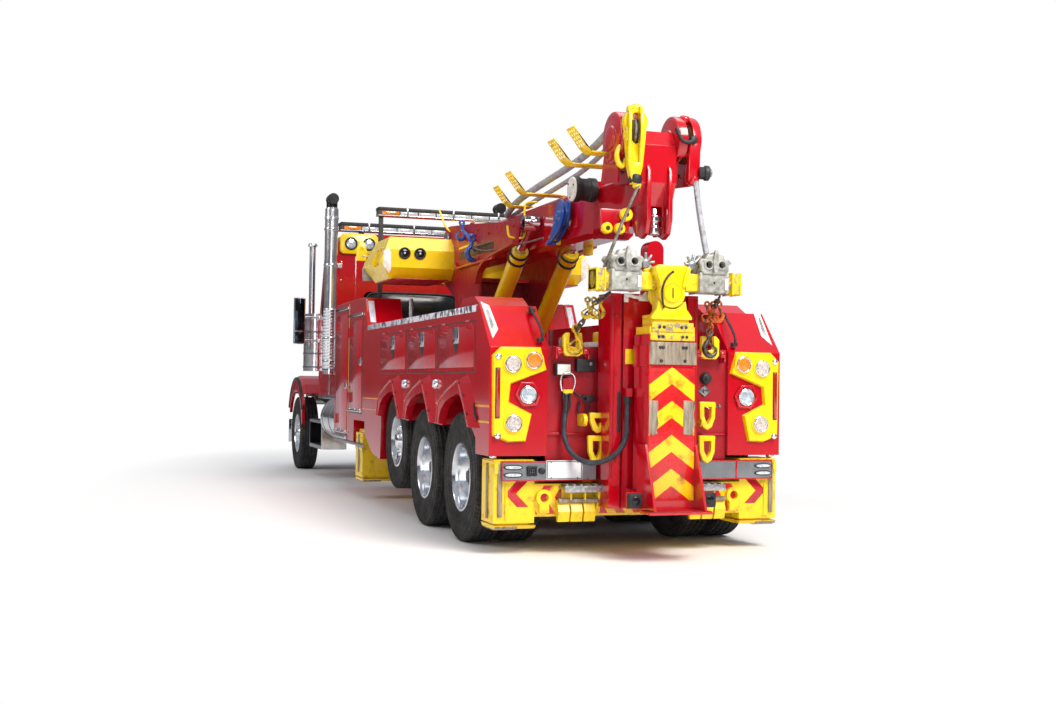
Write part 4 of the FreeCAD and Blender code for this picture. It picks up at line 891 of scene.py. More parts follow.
# ------------------------------------------------------------------ wheels
@dataclass
class Wheels(Assembly):
    """Tyres with cut tread, polished rims, nuts and hubs; they stand for the CAD wheels."""

    drive: float = 552.0
    bead: float = 288.0
    grooves: tuple[float, ...] = (-76.0, -27.0, 27.0, 76.0)
    sipe: float = 7.0
    rib: float = 50.0
    steps: int = 84
    nuts: int = 10

    def tyre(self, name: str, x: float, y: float, z: float, radius: float, bead: float) -> Piece:
        """One tyre: rounded walls, four grooves and a row of sipes in every rib.

        Args:
            name: the piece's name.
            x: station of the wheel.
            y: the tyre's middle plane.
            z: height of the wheel's centre.
            radius: outer radius.
            bead: radius of its seat on the rim.

        Returns:
            The tyre.
        """
        wall = radius - bead
        profile = [(bead, -98), (bead + 14, -116), (bead + wall * 0.3, -134), (bead + wall * 0.52, -139),
            (bead + wall * 0.78, -134), (radius - 16, -126), (radius - 3, -114)]
        for groove in self.grooves:
            profile += [(radius, groove - 6), (radius - 13, groove - 4), (radius - 13, groove + 4),
                (radius, groove + 6)]
        profile += [(reach, -along) for reach, along in reversed(profile[:7])]
        piece = turned(name, (x, y, z), OUT, profile, steps=self.steps)
        middle = at(x, y, z)
        for face in piece.data.polygons:
            spot = face.center - middle
            reach = math.hypot(spot.x, spot.z) * 1000
            step = round(math.atan2(spot.z, spot.x) / math.tau * self.steps - 0.5)
            rib = round((spot.y * 1000 + 100) / self.rib)
            face.select = reach > radius - 5 and (step + rib) % 3 == 0
        bpy.context.view_layer.objects.active = piece
        bpy.ops.object.mode_set(mode="EDIT")
        bpy.ops.mesh.select_mode(type="FACE")
        bpy.ops.mesh.inset(thickness=0.0045, depth=-self.sipe / 1000, use_individual=True)
        bpy.ops.mesh.select_mode(type="VERT")
        bpy.ops.object.mode_set(mode="OBJECT")
        return softened(piece, 0)

    def rim(self, name: str, x: float, y: float, z: float, bead: float, deep: bool) -> Parts:
        """One rim with its hand holes, nuts and hub.

        Args:
            name: start of the pieces' names.
            x: station of the wheel.
            y: the tyre's middle plane.
            z: height of the wheel's centre.
            bead: radius of the tyre's seat.
            deep: whether the disc lies deep inside, as on a drive wheel.

        Returns:
            The pieces and their finishes.
        """
        lip = bead + 10
        if deep:
            disc = -72.0
            profile = [(bead - 1, 104), (lip, 112), (lip, 118), (bead - 8, 120), (bead - 20, 106),
                (bead - 30, 70), (bead - 36, -30), (bead - 60, disc + 16), (210, disc + 6), (110, disc),
                (110, disc - 12), (214, disc - 6), (bead - 44, disc - 2), (bead - 22, -40), (bead - 14, 70)]
        else:
            disc = 58.0
            profile = [(bead - 1, 104), (lip, 112), (lip, 118), (bead - 8, 120), (bead - 22, 100),
                (bead - 32, 30), (bead - 44, 20), (188, 40), (150, disc + 8), (100, disc + 12), (100, disc),
                (146, disc - 4), (180, 28), (bead - 50, 6), (bead - 24, 10), (bead - 14, 90)]
        wheel = turned(f"{name}_rim", (x, y, z), OUT, profile, steps=72)
        high = z + (218 if bead > 270 else 200)
        hole = bar("hole", (x, y + disc - 60, high), (x, y + disc + 60, high), 27, edge=0, sides=20)
        holes = ringed(hole, "holes", (x, y, z), OUT, self.nuts)
        wheel = pierced(wheel, [holes])
        back = turned(f"{name}_drum", (x, y, z), OUT, [(0, disc - 70), (bead - 52, disc - 70),
            (bead - 52, disc - 56), (0, disc - 56)], steps=40)
        nut = turned("nut", (x, y + disc + 2, z + 143), OUT, [(0, 0), (22, 0), (22, 6), (17, 8), (17, 30),
            (12, 36), (0, 38)], steps=6, edge=1.5)
        nuts = ringed(nut, f"{name}_nuts", (x, y, z), OUT, self.nuts)
        face = disc + 2
        if deep:
            hub = turned(f"{name}_hub", (x, y, z), OUT, [(0, face - 20), (108, face - 20), (108, face + 26),
                (94, face + 40), (90, face + 96), (78, face + 106), (30, face + 108), (0, face + 112)],
                edge=3)
        else:
            hub = turned(f"{name}_hub", (x, y, z), OUT, [(0, face - 20), (98, face - 20), (98, face + 22),
                (86, face + 34), (80, face + 58), (64, face + 70), (0, face + 76)], edge=3)
        studs = ringed(bolt("stud", (x, y + face + 38, z + 84), OUT, 11, 9) if deep else bolt("stud",
            (x, y + face + 56, z + 52), OUT, 9, 8), f"{name}_studs", (x, y, z), OUT, 8)
        valve = bent(f"{name}_valve", [(x + 60, y + disc, z + 222), (x + 62, y + disc + 30, z + 226),
            (x + 66, y + disc + 52, z + 236)], 5)
        shade = Coat.CAST_IRON if deep else Coat.CHROME
        return [(wheel, Coat.ALUMINIUM), (back, Coat.CAST_IRON), (nuts, Coat.CHROME), (hub, shade),
            (studs, Coat.STAINLESS), (valve, Coat.STAINLESS)]

    def build(self) -> None:
        """Makes one wheel of each kind and copies it to every place."""
        # label, station, height, tyre's radius, bead's radius, tyres' middle planes, deep disc
        rows = [("rear", 0.0, self.drive, self.drive, self.bead, (790.0, 1120.0), True),
            ("lift", 2570.0, 745.0, 500.0, 264.0, (1100.0,), False), ("front", 9580.0, self.drive,
            self.drive, self.bead, (1085.0,), False)]
        for label, x, z, radius, bead, planes, deep in rows:
            first = self.tyre("tyre", x, planes[-1], z, radius, bead)
            parts = [(first, Coat.TYRE)]
            for y in planes[:-1]:
                parts.append((copied(first, "tyre", (0, y - planes[-1], 0)), Coat.TYRE))
                parts.append((turned("barrel", (x, y, z), OUT, [(bead - 1, -112), (bead + 8, -120),
                    (bead - 8, -122), (bead - 26, -60), (bead - 26, 118), (bead - 1, 118)], steps=60),
                    Coat.CAST_IRON))
            parts += self.rim("wheel", x, planes[-1], z, bead, deep)
            stations = [("rear", 0.0), ("middle", 1290.0)] if label == "rear" else [(label, 0.0)]
            for station, shift in stations:
                for tag, side in SIDES:
                    node = f"wheel_{station}_{tag}"
                    for number, (piece, coat) in enumerate(parts):
                        twin = copied(piece, f"{node}_{piece.name.split('.')[0]}_{number}", (shift, 0, 0),
                            mirror=side < 0)
                        self.dress(twin, coat, node)
                        if number == 0:
                            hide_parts(node)
            for piece, coat in parts:
                bpy.data.objects.remove(piece)


# ------------------------------------------------------------------ tail
@dataclass
class Tail(Assembly):
    """Lamps, bars, reflectors and handles on the rear faces."""

    face: float = -998.0
    lamp: float = 70.0
    bend: tuple[float, float] = (-970.0, 1640.0)
    slant: float = 42.4
    # offset, height and lens of each lamp on the yellow panels
    lamps: tuple[tuple[float, float, Coat], ...] = ((1103, 1508, Coat.LENS_WARM),
        (928, 1539, Coat.LENS_AMBER), (1091, 1039, Coat.LENS_WARM))

    def round_lamp(self, name: str, y: float, z: float, radius: float, face: float, lens: Coat) -> None:
        """A round lamp: chromed bezel, dished seat, stepped lens and a bright core.

        Args:
            name: start of the pieces' names.
            y: its offset.
            z: its height.
            radius: radius of its bezel.
            face: station of the panel that it sits on.
            lens: the lens's finish.
        """
        self.pair(turned(f"{name}_bezel_left", (face, y, z), BACK, [(radius * 0.8, 0), (radius, 0),
            (radius, 4), (radius * 0.97, 12), (radius * 0.88, 16), (radius * 0.8, 12)], steps=40),
            Coat.CHROME)
        self.pair(turned(f"{name}_lens_left", (face, y, z), BACK, [(0, 0), (radius * 0.8, 0),
            (radius * 0.8, 9), (radius * 0.7, 13), (radius * 0.6, 12), (radius * 0.5, 15),
            (radius * 0.4, 13.5), (radius * 0.3, 16), (0, 17)], steps=40), lens)
        core = Coat.LED if lens is Coat.LENS_WARM else lens
        dots = [turned("dot", (face - 13, y, z), BACK, [(0, 0), (7, 0), (6, 4), (0, 6)], steps=12)]
        dot = turned("dot", (face - 12, y + radius * 0.36, z), BACK, [(0, 0), (7, 0), (6, 4), (0, 6)],
            steps=12)
        dots.append(ringed(dot, "dot", (face, y, z), AHEAD, 6))
        self.pair(joined(f"{name}_core_left", dots), core)

    def corner_label(self, name: str, outline: Outline, thick: float, coat: Coat) -> None:
        """A flat label on the slanted top of the tail, and its mirror image.

        Args:
            name: start of the pieces' names.
            outline: its corners as offset and distance up the slant.
            thick: how far it stands off the slant.
            coat: its finish.
        """
        foot = at(self.bend[0], 0, self.bend[1])
        label = plate(f"{name}_left", "yz", [(y, self.bend[1] + up) for y, up in outline],
            self.bend[0] - thick, self.bend[0], 0.8)
        label.data.transform(Matrix.Translation(foot) @ Matrix.Rotation(math.radians(self.slant), 4, "Y")
            @ Matrix.Translation(-foot))
        self.pair(label, coat)

    def build(self) -> None:
        """Makes the left side's pieces and mirrors them."""
        for number, (y, z, lens) in enumerate(self.lamps):
            self.round_lamp(f"tail_lamp_{number}", y, z, self.lamp, -1003.5, lens)
        frame_rim = [(1080, 1268), (1030, 1370), (915, 1366), (852, 1272), (890, 1176), (1010, 1170)]
        inner = [(966 + (y - 966) * 0.72, 1266 + (z - 1266) * 0.76) for y, z in frame_rim]
        raised = pierced(plate("reverse_frame_left", "yz", frame_rim, -992, -969, 8),
            [plate("cutter", "yz", inner, -1010, -978, 2)])
        self.pair(raised, Coat.RED)
        self.round_lamp("reverse_lamp", 966, 1266, 74, -979, Coat.LENS_CLEAR)
        for number, (y, z) in enumerate([(1222, 1566), (1220, 940)]):
            self.pair(turned(f"marker_{number}_left", (self.face, y, z), BACK, [(0, 0), (27, 0), (27, 4),
                (22, 12), (12, 18), (0, 20)], edge=1), Coat.CHROME)
        self.pair(plate("side_bar_left", "yz", [(1212, 1086), (1240, 1086), (1240, 1470), (1212, 1470)],
            -1016, self.face, 6), Coat.LENS_RED)
        self.pair(block("side_bar_seat_left", (-1002, self.face), (1206, 1246), (1078, 1478), 2),
            Coat.RUBBER)
        self.pair(block("reflector_left", (-980, -970), (1136, 1158), (1222, 1312), 2), Coat.LENS_RED)
        handle = bent("tail_handle_left", [(-962, 858, 1700), (-990, 856, 1726), (-960, 858, 1800),
            (-760, 876, 1952), (-735, 880, 1988), (-722, 880, 1962)], 11)
        self.pair(handle, Coat.RUBBER)
        for number, (x, z) in enumerate([(-955, 1708), (-728, 1952)]):
            self.pair(block(f"handle_foot_{number}_left", (x - 24, x + 24), (838, 884), (z - 18, z + 16),
                5), Coat.RUBBER)
        self.pair(turned("tail_marker_left", (-912, 1230, 772), (0, 0.2, -1), [(0, -14), (34, -14), (34, 4),
            (26, 14), (0, 20)], edge=1), Coat.CHROME)
        self.corner_label("corner_label", [(1246, 92), (1268, 508), (1204, 466), (1180, 196)], 3,
            Coat.WHITE)
        self.corner_label("corner_label_core", [(1232, 190), (1246, 420), (1222, 410), (1208, 240)], 5,
            Coat.ZINC)
        for number, z in enumerate((1172, 1046)):
            self.pair(block(f"tail_line_{number}_left", (-968, -560), (1285, 1286.5), (z - 9, z + 9), 0.4),
                Coat.STRIPE)


# ------------------------------------------------------------------ bumper and rear wall
@dataclass
class RearWall(Assembly):
    """The bumper's lamps and plate, the lugs, couplings and fittings between the tails."""

    bumper: float = -1030.0
    wall: float = -930.0

    def bumper_lamps(self) -> None:
        """Two flat oval lamps at each end, in black grommets, red edge lines and a divider."""
        back = self.bumper
        for number, z in enumerate((634, 694)):
            oval = [(1100 + 62 * math.cos(a) + (18 if math.cos(a) > 0 else -18), z + 21 * math.sin(a))
                for a in [math.tau * i / 24 for i in range(24)]]
            inner = [(1100 + (y - 1100) * 0.84, z + (h - z) * 0.6) for y, h in oval]
            self.pair(plate(f"oval_seat_{number}_left", "yz", oval, back - 9, back, 4), Coat.RUBBER)
            self.pair(plate(f"oval_lens_{number}_left", "yz", inner, back - 15, back - 8, 3), Coat.LED)
        for name, z in (("low", 589), ("high", 736)):
            self.pair(block(f"bumper_line_{name}_left", (back - 2, back), (405, 1186), (z - 5, z + 5), 0.6),
                Coat.RED)
        self.pair(block("bumper_end_left", (back - 2, back), (1181, 1189), (590, 736), 0.6), Coat.RED)
        self.dress(block("bumper_divider", (back - 3, back), (-862, -846), (586, 740), 1), Coat.RED)
        for number, (y, z) in enumerate([(1170, 606), (1170, 720), (1030, 664), (470, 606), (470, 720)]):
            self.pair(bolt(f"bumper_bolt_{number}_left", (back - 1, y, z), BACK, 8, 5), Coat.STAINLESS)

    def plate_and_socket(self) -> None:
        """The blank number plate, the square socket and the round coupling beside it."""
        back = self.bumper
        sheet = block("number_plate", (back - 7, back - 3), (520, 825), (596, 748), 1)
        self.dress(sheet, Coat.PLATE)
        rim = pierced(block("plate_border", (back - 9, back - 6), (524, 821), (600, 744), 2),
            [block("cutter", (back - 20, back), (532, 813), (608, 736), 1)])
        self.dress(rim, Coat.STAINLESS)
        for number, (y, z) in enumerate([(560, 734), (785, 734), (560, 610), (785, 610)]):
            self.dress(bolt(f"plate_screw_{number}", (back - 8, y, z), BACK, 7, 3), Coat.STAINLESS)
        socket = pierced(block("square_socket", (back - 22, back), (905, 985), (624, 704), 5),
            [block("cutter", (back - 40, back - 6), (921, 969), (640, 688), 2)])
        self.dress(socket, Coat.RUBBER)
        for number, y in enumerate((930, 945, 960)):
            self.dress(block(f"socket_pin_{number}", (back - 18, back - 6), (y - 2, y + 2), (648, 680),
                0.5), Coat.STAINLESS)
        self.dress(turned("round_plug", (back, 862, 664), BACK, [(0, 0), (26, 0), (26, 14), (20, 22),
            (8, 24), (8, 30), (0, 31)], edge=1), Coat.RUBBER)

    def ring_handle(self, name: str, y: float, top: float, low: float, x: float = -1062) -> None:
        """A yellow towing ring: flat top, straight sides and a pointed foot.

        Args:
            name: the piece's name.
            y: its middle.
            top: height of its flat top.
            low: height of its foot.
            x: station of its plane.
        """
        outer = [(y - 74, top), (y + 74, top), (y + 70, low + 100), (y + 42, low + 28), (y, low),
            (y - 42, low + 28), (y - 70, low + 100)]
        hole = [(y - 34, top - 44), (y + 34, top - 44), (y + 32, low + 108), (y, low + 48),
            (y - 32, low + 108)]
        self.dress(pierced(plate(name, "yz", outer, x - 22, x + 22, 12),
            [plate("cutter", "yz", hole, x - 60, x + 60, 3)]), Coat.YELLOW)

    def chain_lugs(self) -> None:
        """Forged loops on top of the wall that the rigging chains hook into, and their bosses."""
        x = -1000
        outer = [(520, 1600), (560, 1578), (660, 1578), (690, 1606), (690, 1740), (662, 1768), (634, 1768),
            (640, 1700), (632, 1660), (578, 1648), (572, 1700), (572, 1768), (530, 1768)]
        self.pair(plate("chain_loop_left", "yz", outer, x - 26, x + 22, 9), Coat.YELLOW)
        for name, low, high in (("chain_boss_left", 700, 742), ("chain_boss_inner_left", 470, 520)):
            self.pair(bar(name, (x - 6, low, 1618), (x - 6, high, 1618), 34, edge=6), Coat.RED)
        bracket = [(x - 22, 1560), (self.wall, 1540), (self.wall, 1655), (x - 22, 1650)]
        for name, low, high in (("chain_bracket_left", 735, 752), ("chain_bracket_inner_left", 462, 476)):
            self.pair(plate(name, "xz", bracket, low, high, 3), Coat.RED)

    def left_bay(self) -> None:
        """White box, steel coupling, loop and straps, black latch and junction box on the left."""
        wall = self.wall
        self.dress(block("control_box", (wall - 74, wall), (612, 742), (1420, 1520), 8), Coat.RUBBER)
        self.dress(block("control_lid", (wall - 82, wall - 70), (622, 732), (1430, 1512), 4), Coat.WHITE)
        loop = bent("socket_loop", [(-1006, 690, 1300), (-1018, 712, 1360), (-1020, 700, 1430),
            (-1020, 642, 1452), (-1020, 590, 1430), (-1018, 580, 1360), (-1006, 600, 1300)], 8)
        self.dress(loop, Coat.CHROME)
        self.dress(block("hose_tag", (-1016, -1002), (604, 682), (1282, 1312), 3), Coat.YELLOW)
        self.dress(turned("hose_coupling", (-970, 642, 1300), UP, [(0, -30), (30, -30), (34, -20), (34, 40),
            (28, 52), (0, 54)], edge=2), Coat.STAINLESS)
        for number, (y, z) in enumerate([(672, 1250), (618, 1240)]):
            self.dress(bent(f"socket_strap_{number}", [(-980, y, z + 60), (-1004, y + 6, z),
                (-1000, y - 4, z - 70), (-985, 652, z - 150)], 9), Coat.RUBBER)
        self.dress(bent("coupling_cord", [(wall - 6, 560, 1290), (wall - 40, 500, 1240),
            (wall - 44, 440, 1190), (wall - 30, 452, 1130), (wall - 40, 505, 1100), (wall - 30, 545, 1140),
            (wall - 16, 520, 1210)], 9), Coat.RUBBER)
        self.dress(block("latch_body", (wall - 46, wall), (395, 478), (1215, 1262), 6), Coat.RUBBER)
        self.dress(bar("latch_knob", (wall - 46, 480, 1240), (wall - 80, 510, 1262), 16, edge=4),
            Coat.RUBBER)
        self.dress(block("junction_box", (wall - 60, wall), (396, 560), (1455, 1560), 6), Coat.RUBBER)
        self.dress(bar("junction_lens", (wall - 62, 440, 1520), (wall - 68, 440, 1520), 14, edge=1),
            Coat.STAINLESS)

    def right_bay(self) -> None:
        """Round coupling, rhombic valve plate, small ports, gauge and strap on the right."""
        wall = self.wall
        self.dress(turned("air_coupling", (wall, -606, 1418), BACK, [(0, 0), (52, 0), (52, 12), (42, 18),
            (42, 40), (34, 46), (20, 46), (20, 60), (0, 62)], edge=2), Coat.RUBBER)
        self.dress(plate("rhombic_valve", "yz", [(-540, 1313), (-598, 1265), (-656, 1313), (-598, 1361)],
            wall - 12, wall, 4), Coat.STAINLESS)
        self.dress(bar("rhombic_boss", (wall - 8, -598, 1313), (wall - 34, -598, 1313), 20, edge=4),
            Coat.STAINLESS)
        for number, y in enumerate((-610, -645, -705, -740)):
            self.dress(bar(f"small_port_{number}", (wall, y, 1190), (wall - 14, y, 1190), 12, edge=2),
                Coat.STAINLESS)
        self.dress(bar("pressure_gauge", (wall, -352, 1470), (wall - 30, -352, 1470), 40, edge=5),
            Coat.WHITE)
        self.dress(bent("grey_strap", [(wall - 20, -590, 1190), (wall - 50, -650, 1150),
            (wall - 46, -690, 1080), (wall - 20, -600, 1060)], 7), Coat.STAINLESS)

    def build(self) -> None:
        """Makes all groups in order."""
        self.bumper_lamps()
        self.plate_and_socket()
        for name, y, top, low in (("ring_low_left", 418, 948, 716), ("ring_low_right", -560, 948, 716),
                ("ring_high_right", -560, 1226, 990)):
            self.ring_handle(name, y, top, low)
        self.ring_handle("ring_high_left", 402, 1130, 962, x=-1050)
        self.chain_lugs()
        self.left_bay()
        self.right_bay()
        self.pair(block("wall_rib_left", (-950, -930), (420, 796), (948, 966), 4), Coat.RED)
        self.dress(block("jug", (-905, -700), (250, 420), (1440, 1700), 24), Coat.WHITE)
        self.dress(block("yellow_case", (-890, -650), (60, 300), (1660, 1790), 14), Coat.YELLOW)


# ------------------------------------------------------------------ underlift
@dataclass
class Underlift(Assembly):
    """The mast's fittings, the folded arm's plates and tape, and the head's receivers."""

    face: float = -1590.0
    swivel: float = 2070.0
    bore: float = 2306.0

    def arm(self) -> None:
        """Chevron tape, bare patches, bolted wear plates and work lamps by the foot."""
        back = self.face
        self.dress(plate("arm_tape", "yz", [(-192, 468), (192, 468), (192, 1500), (-192, 1500)], back - 2.5,
            back, 0.8), Coat.ARM_TAPE, "fold_arm")
        for name, y0, y1 in (("left", 118, 192), ("right", -192, -98)):
            ragged = [(y0, 985), (y0 + 10, 1010), (y0 - 8, 1060), (y0 + 6, 1130), (y0 - 4, 1190),
                (y0, 1236), (y1, 1240), (y1, 980), ((y0 + y1) / 2, 972)]
            self.dress(plate(f"arm_scrape_{name}", "yz", ragged, back - 5, back - 2, 0.6), Coat.WORN_STEEL,
                "fold_arm")
        self.dress(block("wear_plate_low", (back - 18, back - 1), (-200, 200), (1515, 1690), 4),
            Coat.WORN_STEEL, "fold_arm")
        for number, (y, z) in enumerate([(-110, 1648), (-85, 1648), (85, 1648), (110, 1648), (-100, 1545),
                (100, 1545)]):
            self.dress(bolt(f"wear_bolt_{number}", (back - 18, y, z), BACK, 15, 7), Coat.CHASSIS,
                "fold_arm")
        self.dress(plate("foot_floor", "xy", [(-1786, -255), (-1786, 255), (-1590, 255), (-1590, -255)],
            396, 400, 1), Coat.RED_DUSTY, "fold_arm")
        for name, side in SIDES:
            y = side * 312
            low, high = sorted((side * 150, side * 362))
            self.dress(block(f"work_lamp_{name}", (-1640, -1580), (y - 52, y + 52), (416, 528), 8),
                Coat.RUBBER, "fold_arm")
            self.dress(block(f"work_lamp_box_{name}", (-1580, -1560), (low, high), (408, 536), 4), Coat.RED,
                "fold_arm")
            self.dress(turned(f"work_lens_{name}", (-1640, y, 472), BACK, [(0, -4), (34, -4), (34, 3),
                (28, 6), (0, 8)], edge=1), Coat.GLASS, "fold_arm")

    def stinger(self) -> None:
        """Two stepped rows of bolted plates and the foot under the cast head."""
        body = "stinger"
        self.dress(block("step_plate", (-1598, -1578), (-188, 188), (1700, 1762), 4), Coat.YELLOW_CHIPPED,
            "fold_arm")
        self.dress(block("step_plate_high", (-1596, -1576), (-176, 176), (1768, 1842), 4),
            Coat.YELLOW_CHIPPED, body)
        for number, (y, z) in enumerate([(-118, 1732), (-84, 1732), (84, 1732), (118, 1732)]):
            self.dress(bolt(f"step_bolt_{number}", (-1598, y, z), BACK, 14, 7), Coat.CHASSIS, "fold_arm")
        for number, (y, z) in enumerate([(-112, 1806), (-74, 1806), (74, 1806), (112, 1806)]):
            self.dress(bolt(f"step_bolt_high_{number}", (-1596, y, z), BACK, 14, 7), Coat.CHASSIS, body)
        self.dress(block("head_foot", (-1572, -1350), (-158, 158), (1872, 1905), 10), Coat.YELLOW, body)

    def casting(self, name: str, back: float, front: float) -> None:
        """One of the two cast plates of the swivelling head, with its round foot.

        Args:
            name: the piece's name.
            back: station of its rear face.
            front: station of its front face.
        """
        outline = [(-112, 2290), (112, 2290), (158, 2262), (152, 2224), (118, 2168), *arc(0, self.swivel,
            112, range(20, -201, -11)), (-118, 2168), (-152, 2224), (-158, 2262)]
        self.dress(plate(name, "yz", outline, back, front, 9), Coat.YELLOW, "crossbar")

    def head(self) -> None:
        """The cast head that swivels, its pin, the ribs and the foot it turns on."""
        body = "crossbar"
        self.casting("head_plate_back", -1580, -1505)
        self.casting("head_plate_front", -1395, -1350)
        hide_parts("crossbar")
        self.dress(block("head_bridge", (-1510, -1390), (-112, 112), (2172, 2286), 10), Coat.YELLOW, body)
        foot = [(172, 1866), (172, 1888), (126, 1948), (116, 2010), *arc(0, self.swivel, 125,
            range(-28, -153, -10)), (-116, 2010), (-126, 1948), (-172, 1888), (-172, 1866)]
        self.dress(plate("head_foot", "yz", foot, -1576, -1508, 8), Coat.YELLOW, "stinger")
        self.dress(turned("head_pin", (-1580, 0, self.swivel), BACK, [(0, 0), (78, 0), (78, 8), (74, 8),
            (74, 3), (70, 3), (70, 9), (0, 9)], steps=56), Coat.YELLOW, body)
        self.dress(block("head_pin_key", (-1592, -1588), (-5, 5), (2030, 2110), 1), Coat.CAST_IRON, body)
        for tag, side in SIDES:
            rib = [(side * 154, 2266), (side * 118, 2168), (side * 100, 2110), (side * 78, 2124),
                (side * 92, 2190), (side * 122, 2276)]
            self.dress(plate(f"head_rib_{tag}", "yz", rib, -1596, -1578, 5), Coat.YELLOW, body)
            self.dress(bar(f"bar_{tag}", (-1450, side * 96, 2165), (-1450, side * 618, 2165), 72, edge=6),
                Coat.YELLOW_CHIPPED, body)
            low, high = sorted((side * 140, side * 254))
            self.dress(block(f"bar_sleeve_{tag}", (-1522, -1378), (low, high), (2096, 2234), 10),
                Coat.YELLOW_WORN, body)
        self.dress(bolt("head_bolt", (-1582, 0, 2236), BACK, 12, 5), Coat.CHASSIS, body)
        self.dress(bent("head_hose", [(-1590, 76, 1950), (-1602, 104, 2050), (-1602, 84, 2150),
            (-1596, 40, 2210), (-1586, 14, 2226)], 8), Coat.RUBBER, body)
        for tag, side in SIDES:
            self.receiver(tag, side)

    def receiver(self, tag: str, side: int) -> None:
        """A cast receiver on the bar: box, lobed top with two bores, levers and bar end.

        Args:
            tag: left or right.
            side: 1 for the left, -1 for the right.
        """
        body = "crossbar"
        middle = side * 372
        self.dress(block(f"receiver_{tag}", (-1552, -1350), (middle - 122, middle + 122), (2086, 2240), 12),
            Coat.CAST_GREY, body)
        self.dress(block(f"receiver_band_{tag}", (-1558, -1344), (middle - 126, middle - 100), (2080, 2246),
            6), Coat.CAST_GREY, body)
        self.dress(block(f"receiver_rim_{tag}", (-1558, -1344), (middle + 100, middle + 126), (2080, 2246),
            6), Coat.CAST_GREY, body)
        lobes = [(-96, 2232), (-122, 2262), (-118, 2300), (-146, 2322), (-120, 2354), (-86, 2346),
            (-68, 2392), (-30, 2380), (0, 2412), (32, 2384), (66, 2396), (86, 2350), (120, 2356),
            (140, 2324), (116, 2298), (122, 2262), (96, 2232)]
        for number, (x0, x1) in enumerate([(-1566, -1490), (-1420, -1352)]):
            lump = plate(f"lobes_{tag}_{number}", "yz", [(middle + a, b) for a, b in lobes], x0, x1, 9)
            bores = [bar("cutter", (x0 - 30, middle + a, self.bore), (x1 + 30, middle + a, self.bore), 27,
                edge=0) for a in (-56, 56)]
            self.dress(pierced(lump, bores), Coat.CAST_GREY, body)
        for number, a in enumerate((-56, 56)):
            self.dress(turned(f"bore_ring_{tag}_{number}", (-1564, middle + a, self.bore), BACK,
                [(27, -10), (43, -10), (43, 8), (36, 14), (28, 12)], steps=40), Coat.CAST_GREY, body)
            self.dress(bar(f"bore_plug_{tag}_{number}", (-1500, middle + a, self.bore), (-1428, middle + a,
                self.bore), 30, edge=0), Coat.CAST_IRON, body)
        fin = [(-18, 2244), (18, 2244), (26, 2330), (10, 2420), (-12, 2424), (-26, 2330)]
        self.dress(plate(f"lobe_fin_{tag}", "yz", [(middle + a, b) for a, b in fin], -1590, -1560, 7),
            Coat.CAST_GREY, body)
        self.dress(block(f"lobe_bridge_{tag}", (-1495, -1415), (middle - 90, middle + 90), (2236, 2290),
            10), Coat.CAST_GREY, body)
        hub = side * 196
        self.dress(turned(f"lock_hub_{tag}", (-1500, hub, 2300), BACK, [(0, -40), (40, -40), (40, 14),
            (28, 26), (0, 28)], edge=3), Coat.ZINC, body)
        for number, (across, rise) in enumerate([(-70, 14), (-44, 66), (6, 84), (52, 52), (-58, -40)]):
            self.dress(bar(f"lock_arm_{tag}_{number}", (-1512, hub, 2300), (-1518, hub + side * across,
                2300 + rise), 14, 9, edge=3), Coat.ZINC, body)
        self.dress(block(f"grease_point_{tag}", (-1556, -1551), (middle - 8, middle + 8), (2158, 2176), 2),
            Coat.CAST_IRON, body)
        low, high = sorted((side * 538, side * 618))
        self.dress(block(f"bar_end_{tag}", (-1534, -1366), (low, high), (2082, 2248), 8),
            Coat.YELLOW_CHIPPED, body)
        rims = [block("rim", (-1540, -1360), (side * where - 7, side * where + 7), (2076, 2254), 4)
            for where in (544, 611)]
        self.dress(joined(f"bar_rims_{tag}", rims), Coat.YELLOW, body)
        self.dress(block(f"receiver_pad_{tag}", (-1562, -1551), (middle - 118, middle - 88), (2110, 2200),
            3), Coat.WHITE, body)

    def mast(self) -> None:
        """Reflectors, guide strips, bolts, hose outlet and white hook bracket on the mast."""
        self.dress(block("mast_reflector_left", (-1254, -1250), (180, 252), (1520, 1640), 3), Coat.YELLOW)
        self.dress(block("mast_reflector_high", (-1254, -1250), (90, 160), (1640, 1720), 3), Coat.YELLOW)
        self.dress(bent("white_hook", [(-1256, 250, 2060), (-1300, 236, 2064), (-1312, 200, 2046),
            (-1306, 120, 2050), (-1296, 96, 2090)], 13), Coat.WHITE)
        self.dress(block("white_hook_base", (-1262, -1250), (232, 270), (2010, 2076), 4), Coat.WHITE)
        self.dress(block("hook_label_pad", (-1300, -1290), (78, 160), (2020, 2070), 3), Coat.WHITE)
        for tag, side in SIDES:
            y = side * 362
            self.dress(block(f"mast_guide_{tag}", (-1256, -1250), (y - 10, y + 10), (620, 2040), 2),
                Coat.RED_DUSTY)
        self.dress(block("mast_rub_strip", (-1256, -1250), (290, 316), (980, 1300), 3), Coat.RUBBER)
        for number, z in enumerate((560, 760, 1440, 1900)):
            self.pair(bolt(f"mast_bolt_{number}_left", (-1250, 330, z), BACK, 13, 7), Coat.RED_DUSTY)
        collar = turned("hose_outlet", (-1288, 243, 1262), (0, 0, -1), [(0, -8), (30, -8), (32, 4),
            (30, 40), (24, 58), (21.5, 60), (0, 60)], edge=2)
        self.dress(collar, Coat.RUBBER)

    def build(self) -> None:
        """Makes all groups in order."""
        self.arm()
        self.stinger()
        self.head()
        self.mast()


